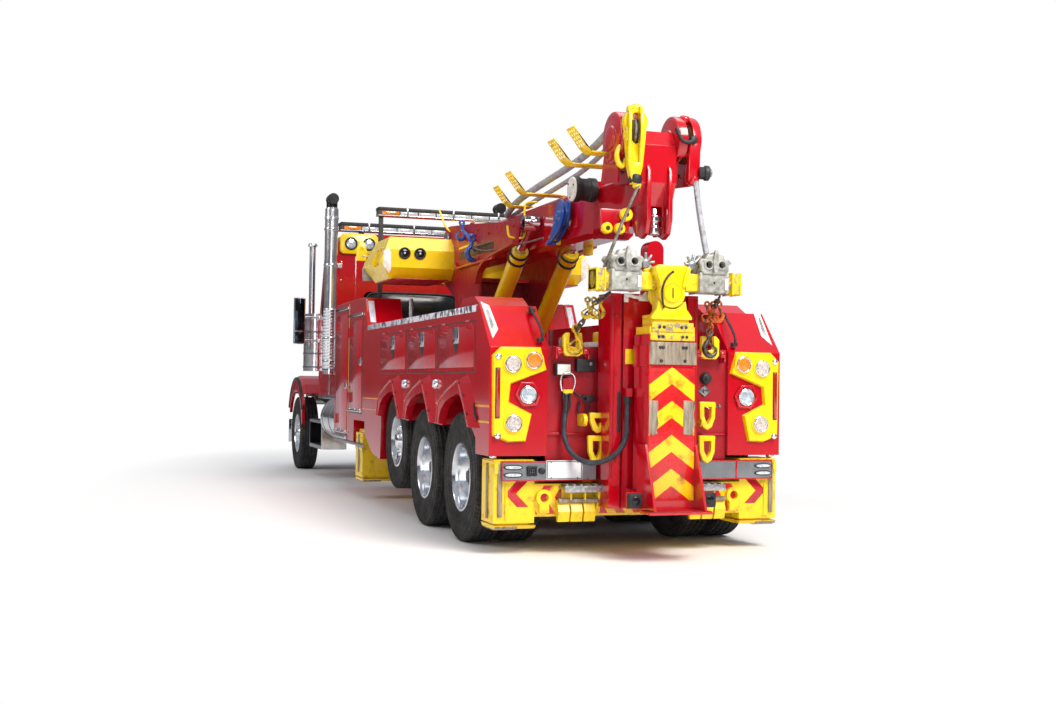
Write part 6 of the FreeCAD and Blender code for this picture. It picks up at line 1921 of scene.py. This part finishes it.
# ------------------------------------------------------------------ outriggers
@dataclass
class Outriggers(Assembly):
    """Tape, leg strips, bolts and feet of the outriggers, and the step trays."""

    rear: float = -985.0

    def arrows(self) -> None:
        """The arrow tape across the rear housing and on the leg faces."""
        band = plate("housing_tape", "yz", [(-896, 318), (896, 318), (896, 546), (-896, 546)],
            self.rear - 2.5, self.rear, 0.8)
        self.dress(band, Coat.BAR_TAPE)
        arrow = [(1150, 484), (1050, 590), (954, 590), (1058, 484), (954, 378), (1050, 378)]
        self.pair(plate("leg_arrow_left", "yz", arrow, self.rear - 2, self.rear, 0.6), Coat.RED,
            "rear_beam_left")

    def legs(self) -> None:
        """Guide strips, bosses and feet on the legs, front and rear."""
        body = "rear_beam_left"
        self.pair(block("leg_strip_left", (self.rear - 16, self.rear), (1176, 1214), (300, 716), 5),
            Coat.WORN_STEEL, body)
        self.pair(block("leg_strip_inner_left", (self.rear - 10, self.rear), (1130, 1150), (276, 560), 4),
            Coat.YELLOW, body)
        self.pair(plate("leg_claw_left", "yz", [(1216, 640), (1244, 640), (1244, 720), (1220, 730),
            (1210, 690)], self.rear - 24, self.rear, 5), Coat.YELLOW_WORN, body)
        self.pair(block("leg_cap_left", (-985, -665), (908, 1242), (741, 752), 4), Coat.YELLOW, body)
        for number, (x, z) in enumerate([(-940, 700), (-710, 700), (-940, 290), (-710, 290)]):
            self.pair(bolt(f"leg_bolt_{number}_left", (x, 1245, z), OUT, 15, 8), Coat.YELLOW_WORN, body)
        self.pair(block("leg_side_strip_left", (-845, -805), (1245, 1256), (280, 720), 4), Coat.WORN_STEEL,
            body)
        self.pair(plate("foot_claw_left", "xz", [(-1010, 232), (-640, 232), (-650, 212), (-700, 196),
            (-950, 196), (-1000, 212)], 1050, 1236, 5), Coat.WORN_STEEL, "rear_leg_left")
        front = "front_beam_left"
        self.pair(block("front_leg_strip_left", (4250, 4310), (1275, 1287), (300, 740), 5), Coat.WORN_STEEL,
            front)
        self.pair(block("front_leg_band_left", (4084, 4476), (1275, 1284), (560, 600), 4), Coat.YELLOW,
            front)
        for number, (x, z) in enumerate([(4120, 700), (4440, 700), (4120, 300), (4440, 300)]):
            self.pair(bolt(f"front_leg_bolt_{number}_left", (x, 1275, z), OUT, 15, 8), Coat.YELLOW_WORN,
                front)
        self.pair(plate("front_claw_left", "xz", [(4060, 232), (4500, 232), (4490, 212), (4440, 196),
            (4120, 196), (4070, 212)], 1050, 1266, 5), Coat.WORN_STEEL, "front_leg_left")
        self.pair(plate("front_bracket_left", "xz", [(4080, 760), (4480, 760), (4440, 800), (4120, 800)],
            1100, 1240, 5), Coat.YELLOW, front)

    def trays(self) -> None:
        """The galvanised step trays under the bumper with their rows of teeth."""
        y0, y1 = 330, 700
        self.pair(block("tray_left", (-1130, -990), (y0, y1), (520, 548), 5), Coat.ZINC)
        self.pair(block("tray_lip_left", (-1140, -1126), (y0, y1), (500, 552), 4), Coat.ZINC)
        for number in range(6):
            y = y0 + 34 + number * 60
            self.pair(block(f"tray_tooth_{number}_left", (-1128, -1000), (y, y + 22), (548, 562), 3),
                Coat.WORN_STEEL)
        self.pair(block("tray_back_left", (-1000, -988), (y0 + 20, y1 - 20), (330, 520), 4),
            Coat.YELLOW_WORN)
        for number, y in enumerate((y0 + 50, y0 + 170, y0 + 290)):
            self.pair(plate(f"tray_rib_{number}_left", "xz", [(-1090, 520), (-990, 520), (-990, 330),
                (-1010, 330), (-1080, 440)], y, y + 16, 4), Coat.YELLOW_WORN)
        self.pair(bar("tray_pin_left", (-1060, y0 - 40, 430), (-1060, y1 + 30, 430), 20, edge=3),
            Coat.WORN_STEEL)

    def build(self) -> None:
        """Makes all groups in order."""
        self.arrows()
        self.legs()
        self.trays()


# ------------------------------------------------------------------ cab and front end
@dataclass
class CabGear(Assembly):
    """Glass, light bars, stacks, mirrors, steps, handles and the front's chrome."""

    rear: float = 7050.0

    def panes(self) -> None:
        """Rear window with its rubber, windshields with a centre bar, and door windows."""
        outer = [(-700, 2290), (-640, 2195), (-560, 2152), (560, 2152), (640, 2195), (700, 2290),
            (700, 2460), (640, 2555), (560, 2598), (-560, 2598), (-640, 2555), (-700, 2460)]
        self.dress(plate("rear_glass", "yz", outer, 7068, 7074, 1), Coat.GLASS)
        gasket = bent("rear_gasket", [(7052, y, z) for y, z in outer], 13, closed=True)
        self.dress(gasket, Coat.RUBBER)
        shape = [(8472, 2394), (8478, 2394), (8112, 3184), (8106, 3184)]
        for tag, side in SIDES:
            low, high = sorted((side * 34, side * 926))
            self.dress(plate(f"windshield_{tag}", "xz", shape, low, high, 1), Coat.GLASS)
        self.dress(bar("windshield_post", (8484, 0, 2400), (8108, 0, 3196), 22, edge=4), Coat.RUBBER)
        light = [(7482, 2302), (8238, 2302), (8238, 2428), (7962, 3148), (7482, 3148)]
        self.pair(plate("door_glass_left", "xz", light, 1052, 1058, 1), Coat.GLASS, "cab_door_left")
        self.pair(bent("door_gasket_left", [(x, 1070, z) for x, z in light], 11, closed=True, smooth=False),
            Coat.RUBBER, "cab_door_left")

    def upper_rear(self) -> None:
        """The yellow housings with round lamps on the cab's upper rear, and its seams."""
        face = self.rear - 62
        for tag, side in SIDES:
            shape = [(side * 520, 3110), (side * 1010, 3110), (side * 1052, 3150), (side * 1052, 3330),
                (side * 1010, 3392), (side * 560, 3392), (side * 500, 3330), (side * 490, 3150)]
            self.dress(plate(f"lamp_housing_{tag}", "yz", shape, face, self.rear, 16), Coat.YELLOW)
            for number, y in enumerate((650, 900)):
                self.dress(turned(f"work_ring_{number}_{tag}", (face, side * y, 3250), BACK,
                    [(64, -4), (88, -4), (88, 10), (78, 18), (64, 12)], steps=44), Coat.RUBBER)
                self.dress(turned(f"work_glass_{number}_{tag}", (face, side * y, 3250), BACK,
                    [(0, -2), (66, -2), (64, 8), (36, 14), (0, 16)], steps=36), Coat.LENS_CLEAR)
        for number, y in enumerate((-820, 820)):
            self.dress(block(f"rear_seam_{number}", (self.rear - 7, self.rear), (y - 14, y + 14),
                (1190, 3080), 3), Coat.RED)
        self.dress(block("rear_belt", (self.rear - 9, self.rear), (-1040, 1040), (1990, 2020), 4), Coat.RED)
        for number, z in enumerate((1400, 1700, 2750, 3000)):
            self.pair(bolt(f"rear_bolt_{number}_left", (self.rear, 1020, z), BACK, 12, 6), Coat.CHROME)

    def bars(self) -> None:
        """Lens strips, end caps and feet of the light bar on the cab and on the pylon."""
        for name, x0, x1, half, z0, z1 in (("cab", 7060, 7260, 1030, 3440, 3550), ("pylon", 4950, 5100, 950,
                3400, 3500)):
            middle = (z0 + z1) / 2
            for number in range(8):
                y0 = -half + 30 + number * (2 * half - 60) / 8
                y1 = y0 + (2 * half - 60) / 8 - 12
                coat = Coat.LENS_AMBER if number in (0, 7) else Coat.LED
                lens = block(f"{name}_lens_{number}", (x0 - 10, x1 + 10), (y0, y1), (z0 + 14, middle + 6),
                    6)
                self.dress(lens, coat)
            self.dress(block(f"{name}_lid", (x0 - 6, x1 + 6), (-half - 6, half + 6), (middle + 10, z1 + 5),
                10), Coat.RUBBER)
            self.dress(block(f"{name}_base", (x0 - 4, x1 + 4), (-half - 4, half + 4), (z0 - 4, z0 + 12), 4),
                Coat.ALUMINIUM)
            for number, y in enumerate((-half * 0.62, 0, half * 0.62)):
                self.dress(block(f"{name}_clip_{number}", (x0 - 14, x1 + 14), (y - 14, y + 14),
                    (z0 + 6, z1 + 9), 4), Coat.STAINLESS)

    def stacks(self) -> None:
        """Clamps, collars, mouths and guards of the stacks; bands, screens and caps of the cleaners."""
        for number, z in enumerate((1620, 1930, 2930, 3420)):
            self.pair(turned(f"stack_clamp_{number}_left", (6900, 1190, z), UP, [(89, -16), (97, -16),
                (99, -8), (99, 8), (97, 16), (89, 16)], steps=44), Coat.CHROME)
        self.pair(turned("stack_collar_left", (6900, 1190, 3560), UP, [(74, 0), (96, 0), (96, 30), (84, 44),
            (82, 150), (74, 150)], steps=44), Coat.CHROME)
        self.pair(turned("stack_mouth_left", (6780, 1190, 3830), BACK, [(60, -60), (74, -60), (74.5, 2),
            (70, 4), (64, -4), (60, -40)], steps=44), Coat.RUBBER)
        self.pair(turned("stack_throat_left", (6784, 1190, 3830), BACK, [(0, -2), (68, -2), (68, 1),
            (0, 1)], steps=32), Coat.CAST_IRON)
        ribs = [(90, 1500)]
        for number in range(20):
            z = 1500 + number * 42
            ribs += [(95, z + 3), (95, z + 22), (91, z + 26), (91, z + 38)]
        ribs += [(90, 2340)]
        self.pair(turned("stack_guard_left", (6900, 1190, 0), UP, ribs, steps=36), Coat.CHROME)
        for number, z in enumerate((1560, 1760, 2080, 2290)):
            self.pair(turned(f"cleaner_band_{number}_left", (8660, 1105, z), UP, [(164, -14), (171, -14),
                (172, 0), (171, 14), (164, 14)], steps=48), Coat.STAINLESS)
        dot = turned("dot", (8660 + 165, 1105, 1840), AHEAD, [(0, 0), (9, 0), (7, 2), (0, 2)], steps=10)
        modified(dot, "ARRAY", count=6, use_relative_offset=False, use_constant_offset=True,
            constant_offset_displace=(0, 0, 0.044))
        self.pair(ringed(dot, "cleaner_screen_left", (8660, 1105, 1840), UP, 22), Coat.CAST_IRON)
        self.pair(turned("cleaner_cap_left", (8640, 1165, 3390), UP, [(0, -40), (64, -40), (70, -20),
            (58, 10), (0, 14)], steps=40, edge=2), Coat.CHROME)

    def mirrors(self) -> None:
        """Mirror shells, their upper and lower glass, and the arms' joints."""
        self.pair(block("mirror_shell_left", (8446, 8508), (1284, 1450), (1894, 2576), 18), Coat.CHROME)
        # The mirror glass's dark colour is a painted reflection of the surround.
        self.pair(plate("mirror_glass_left", "yz", [(1300, 2090), (1438, 2090), (1438, 2560), (1300, 2560)],
            8438, 8446, 4), Coat.MIRROR)
        self.pair(plate("mirror_low_left", "yz", [(1300, 1908), (1438, 1908), (1438, 2074), (1300, 2074)],
            8438, 8446, 4), Coat.MIRROR)
        for number, z in enumerate((1950, 2290)):
            self.pair(turned(f"mirror_joint_{number}_left", (8460, 1072, z), OUT,
                [(0, -6), (34, -6), (34, 6), (22, 20), (0, 20)], steps=28, edge=2), Coat.CHROME)

    def flanks(self) -> None:
        """Door handles, grab rails, tank straps and caps, step treads, sills and roof markers."""
        self.pair(block("door_handle_left", (7450, 7600), (1071, 1084), (2130, 2180), 4), Coat.CHROME,
            "cab_door_left")
        self.pair(block("door_pull_left", (7462, 7588), (1084, 1100), (2146, 2166), 5), Coat.STAINLESS,
            "cab_door_left")
        self.pair(bent("grab_rail_left", [(7330, 1070, 1500), (7330, 1112, 1510), (7330, 1116, 1560),
            (7330, 1116, 2340), (7330, 1112, 2400), (7330, 1070, 2410)], 15), Coat.CHROME)
        for number, x in enumerate((6150, 6650, 7150)):
            self.pair(turned(f"tank_strap_{number}_left", (x, 930, 848), AHEAD, [(299, -26), (303, -26),
                (305, -18), (305, 18), (303, 26), (299, 26)], steps=64), Coat.STAINLESS)
        self.pair(turned("tank_cap_left", (6400, 1130, 1060), (0, 0.7, 0.7), [(0, -10), (58, -10), (58, 20),
            (48, 30), (0, 30)], steps=36, edge=3), Coat.CHROME)
        for number, (z0, z1) in enumerate([(450, 456), (800, 806)]):
            self.pair(block(f"step_tread_{number}_left", (7390, 8360), (880, 1190), (z0, z1), 1.5),
                Coat.CHASSIS)
        self.pair(block("sill_trim_left", (7060, 8470), (1071, 1079), (1100, 1150), 3), Coat.STAINLESS)
        for number in range(5):
            y = -720 + number * 360
            self.dress(turned(f"roof_marker_{number}", (7960, y, 3392), (0.3, 0, 1), [(0, -20), (46, -20),
                (44, 22), (26, 40), (0, 42)], steps=28, edge=3), Coat.LENS_AMBER)

    def fender_lips(self) -> None:
        """The black rubber lips round the front wheels' arches."""
        path = [(x, 1228, z) for x, z in arc(9580, 690, 700, range(20, 161, 14))]
        self.pair(bent("fender_lip_left", path, 26), Coat.RUBBER, "hood")

    def front(self) -> None:
        """Grille surround, headlamps, turn and bumper lamps, hood spear and louvres, visor, plate."""
        spans = [((-452, 452), (1810, 1846)), ((-452, 452), (888, 924)), ((-462, -430), (888, 1846)),
            ((430, 462), (888, 1846))]
        frame_bars = [block("bar", (10150, 10186), y, z, 8) for y, z in spans]
        self.dress(joined("grille_surround", frame_bars), Coat.CHROME, "hood")
        self.pair(block("headlamp_case_left", (9950, 10080), (640, 1010), (980, 1200), 26), Coat.CHROME,
            "hood")
        for number, y in enumerate((735, 915)):
            self.pair(turned(f"headlamp_{number}_left", (10080, y, 1090), AHEAD, [(0, -10), (80, -10),
                (80, 2), (60, 16), (0, 22)], steps=40, edge=1), Coat.LENS_CLEAR, "hood")
            self.pair(turned(f"headlamp_ring_{number}_left", (10080, y, 1090), AHEAD, [(78, -6), (88, -6),
                (88, 10), (80, 12), (78, 4)], steps=40), Coat.CHROME, "hood")
        self.pair(block("turn_lamp_left", (9860, 9990), (1100, 1190), (1180, 1240), 14), Coat.LENS_AMBER,
            "hood")
        self.pair(turned("bumper_lamp_left", (10385, 760, 560), AHEAD, [(0, -8), (64, -8), (64, 4),
            (46, 12), (0, 13)], steps=36, edge=2), Coat.LENS_AMBER)
        self.dress(bar("hood_spear", (8540, 0, 2262), (10140, 0, 1956), 14, edge=4), Coat.CHROME, "hood")
        self.dress(block("visor", (8060, 8200), (-1000, 1000), (3236, 3262), 9), Coat.STAINLESS)
        self.dress(block("plate_front", (10399, 10400), (-150, 150), (480, 560), 0.5), Coat.PLATE)
        for number in range(5):
            z = 1680 + number * 60
            self.pair(block(f"hood_louvre_{number}_left", (8620, 8900), (928, 936), (z, z + 24), 4),
                Coat.CHROME, "hood")

    def build(self) -> None:
        """Makes all groups in order."""
        self.panes()
        self.upper_rear()
        self.bars()
        self.stacks()
        self.mirrors()
        self.flanks()
        self.fender_lips()
        self.front()


ASSEMBLIES = (Wheels, Tail, RearWall, Underlift, Rigging, BoomGear, TurretGear, BodySides, Outriggers,
    CabGear)


# ------------------------------------------------------------------ air hose
@dataclass
class Hose(Assembly):
    """The air hose that hangs in a loop from the rear wall to the mast."""

    bore: float = 42.0
    route: tuple[Point, ...] = ((-970, 642, 1290), (-970, 642, 1215), (-975, 652, 1132), (-983, 661, 1045),
        (-990, 668, 954), (-1021, 652, 867), (-1076, 620, 796), (-1141, 570, 750), (-1205, 504, 734),
        (-1258, 429, 750), (-1294, 355, 796), (-1316, 295, 867), (-1325, 262, 954), (-1319, 258, 1045),
        (-1300, 249, 1125), (-1288, 243, 1200), (-1288, 243, 1262))

    def build(self) -> None:
        curve = bpy.data.curves.new("air_hose_line", "CURVE")
        curve.dimensions = "3D"
        spline = curve.splines.new("NURBS")
        spline.points.add(len(self.route) - 1)
        for spot, place in zip(spline.points, self.route):
            spot.co = (*at(*place), 1)
        spline.order_u = 3
        spline.use_endpoint_u = True
        curve.resolution_u = 12
        curve.bevel_depth = self.bore / 2000
        curve.bevel_resolution = 8
        curve.use_fill_caps = True
        curve.materials.append(finish(Coat.HOSE))
        hose = bpy.data.objects.new("air_hose_line", curve)
        bpy.context.collection.objects.link(hose)
        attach(hose, "root")
        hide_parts("air_hose")
        LOG.info("air hose: %d points", len(self.route))


# ------------------------------------------------------------------ studio
@dataclass
class Studio:
    """The camera, the pale floor, the soft lights and the white background."""

    place: Point = (-10820.0, 4260.0, 1350.0)
    yaw: float = 18.47
    pitch: float = 1.41
    roll: float = 0.80
    lens: float = 44.557
    fade: tuple[float, float] = (2.3, 4.4)

    def camera(self) -> None:
        """Stands the camera behind the truck's left rear corner."""
        yaw, pitch, roll = (math.radians(a) for a in (self.yaw, self.pitch, self.roll))
        ahead = Vector((math.cos(pitch) * math.cos(yaw), -math.cos(pitch) * math.sin(yaw), math.sin(pitch)))
        right = Vector((-math.sin(yaw), -math.cos(yaw), 0))
        up = right.cross(ahead)
        across = math.cos(roll) * right + math.sin(roll) * up
        rise = -math.sin(roll) * right + math.cos(roll) * up
        data = bpy.data.cameras.new("camera")
        data.lens = self.lens
        data.sensor_width = 36
        data.clip_end = 200
        camera = bpy.data.objects.new("camera", data)
        bpy.context.collection.objects.link(camera)
        turn = Matrix((across, rise, -ahead)).transposed().to_4x4()
        camera.matrix_world = Matrix.Translation(at(*self.place)) @ turn
        bpy.context.scene.camera = camera

    def light(self, name: str, place: Point, target: Point, size: float, power: float,
            colour: str = "#FFFFFF") -> None:
        """One soft square lamp.

        Args:
            name: its name.
            place: where it hangs.
            target: what it looks at.
            size: its width in metres.
            power: its power in watts.
            colour: its colour.
        """
        data = bpy.data.lights.new(name, "AREA")
        data.shape = "SQUARE"
        data.size = size
        data.energy = power
        data.color = linear(colour)[:3]
        lamp = bpy.data.objects.new(name, data)
        bpy.context.collection.objects.link(lamp)
        lamp.location = at(*place)
        lamp.rotation_euler = (at(*target) - at(*place)).to_track_quat("-Z", "Y").to_euler()

    def floor(self) -> None:
        """A pale floor that fades to white away from the truck, so that its edge never shows."""
        deselect()
        bpy.ops.mesh.primitive_circle_add(vertices=96, radius=90, fill_type="NGON", location=(0, 0, 0))
        piece = settle(bpy.context.object, "studio_floor")
        material = bpy.data.materials.new("pale_studio_floor")
        material.use_nodes = True
        tree = material.node_tree
        tree.nodes.clear()
        place = add(tree, "ShaderNodeTexCoord").outputs["Object"]
        noise = add(tree, "ShaderNodeTexNoise", {"Scale": 0.6, "Detail": 3}, {"Vector": place})
        shade = add(tree, "ShaderNodeMapRange", {3: 0.5, 4: 0.58}, {0: noise.outputs["Fac"]})
        base = add(tree, "ShaderNodeBsdfPrincipled", {"Base Color": linear("#F1F0EE")},
            {"Roughness": shade.outputs[0]})
        white = add(tree, "ShaderNodeEmission")
        oval = add(tree, "ShaderNodeVectorMath", {1: (0.38, 1, 1)}, {0: place},
            operation="MULTIPLY").outputs[0]
        far = add(tree, "ShaderNodeVectorMath", links={0: oval}, operation="LENGTH")
        fade = add(tree, "ShaderNodeMapRange", {1: self.fade[0], 2: self.fade[1]},
            {0: far.outputs["Value"]})
        seen = add(tree, "ShaderNodeLightPath").outputs["Is Camera Ray"]
        share = add(tree, "ShaderNodeMath", links={0: fade.outputs[0], 1: seen}, operation="MULTIPLY")
        mixed = add(tree, "ShaderNodeMixShader", links={0: share.outputs[0], 1: base.outputs[0],
            2: white.outputs[0]})
        add(tree, "ShaderNodeOutputMaterial", links={"Surface": mixed.outputs[0]})
        piece.data.materials.append(material)

    def world(self) -> None:
        """A soft grey surround for the light, seen white by the camera."""
        world = bpy.data.worlds.new("studio")
        world.use_nodes = True
        tree = world.node_tree
        tree.nodes.clear()
        place = add(tree, "ShaderNodeTexCoord").outputs["Object"]
        rise = add(tree, "ShaderNodeSeparateXYZ", links={0: place}).outputs["Z"]
        share = add(tree, "ShaderNodeMapRange", {1: -0.02, 2: 0.5}, {0: rise}).outputs[0]
        tone = add(tree, "ShaderNodeMix", {6: linear("#4A3F3B"), 7: linear("#E6ECF6")}, {0: share},
            data_type="RGBA").outputs[2]
        soft = add(tree, "ShaderNodeBackground", {1: 0.62}, {0: tone})
        white = add(tree, "ShaderNodeBackground", {0: linear("#FFFFFF")})
        seen = add(tree, "ShaderNodeLightPath").outputs["Is Camera Ray"]
        mixed = add(tree, "ShaderNodeMixShader", links={0: seen, 1: soft.outputs[0], 2: white.outputs[0]})
        add(tree, "ShaderNodeOutputWorld", links={"Surface": mixed.outputs[0]})
        bpy.context.scene.world = world

    def build(self) -> None:
        """Sets up the whole studio."""
        bpy.context.scene.view_settings.view_transform = "Standard"
        self.camera()
        self.floor()
        self.world()
        self.light("key", (-9000, -2500, 10500), (-600, 0, 1500), 6.0, 2150, "#FFF8F0")
        self.light("rear_fill", (-14500, 5000, 2600), (-800, 0, 1700), 6.0, 330, "#EFF3FF")
        self.light("side_fill", (3500, 13500, 9500), (3500, 0, 1500), 8.0, 700, "#FFF3EA")
        self.light("overhead", (3500, 0, 12500), (3500, 0, 0), 8.0, 520, "#FFFFFF")


# ------------------------------------------------------------------ everything
def main() -> None:
    """Builds the studio, the air hose, the CAD nodes' finishes and every assembly."""
    logging.basicConfig(level=logging.INFO, format="%(message)s")
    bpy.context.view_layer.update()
    Studio().build()
    Hose().build()
    coat_nodes()
    for assembly in ASSEMBLIES:
        group = assembly()
        group.build()
        LOG.info("%s: %d pieces", assembly.__name__, len(group.made))
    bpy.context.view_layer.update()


if __name__ == "__main__":
    main()
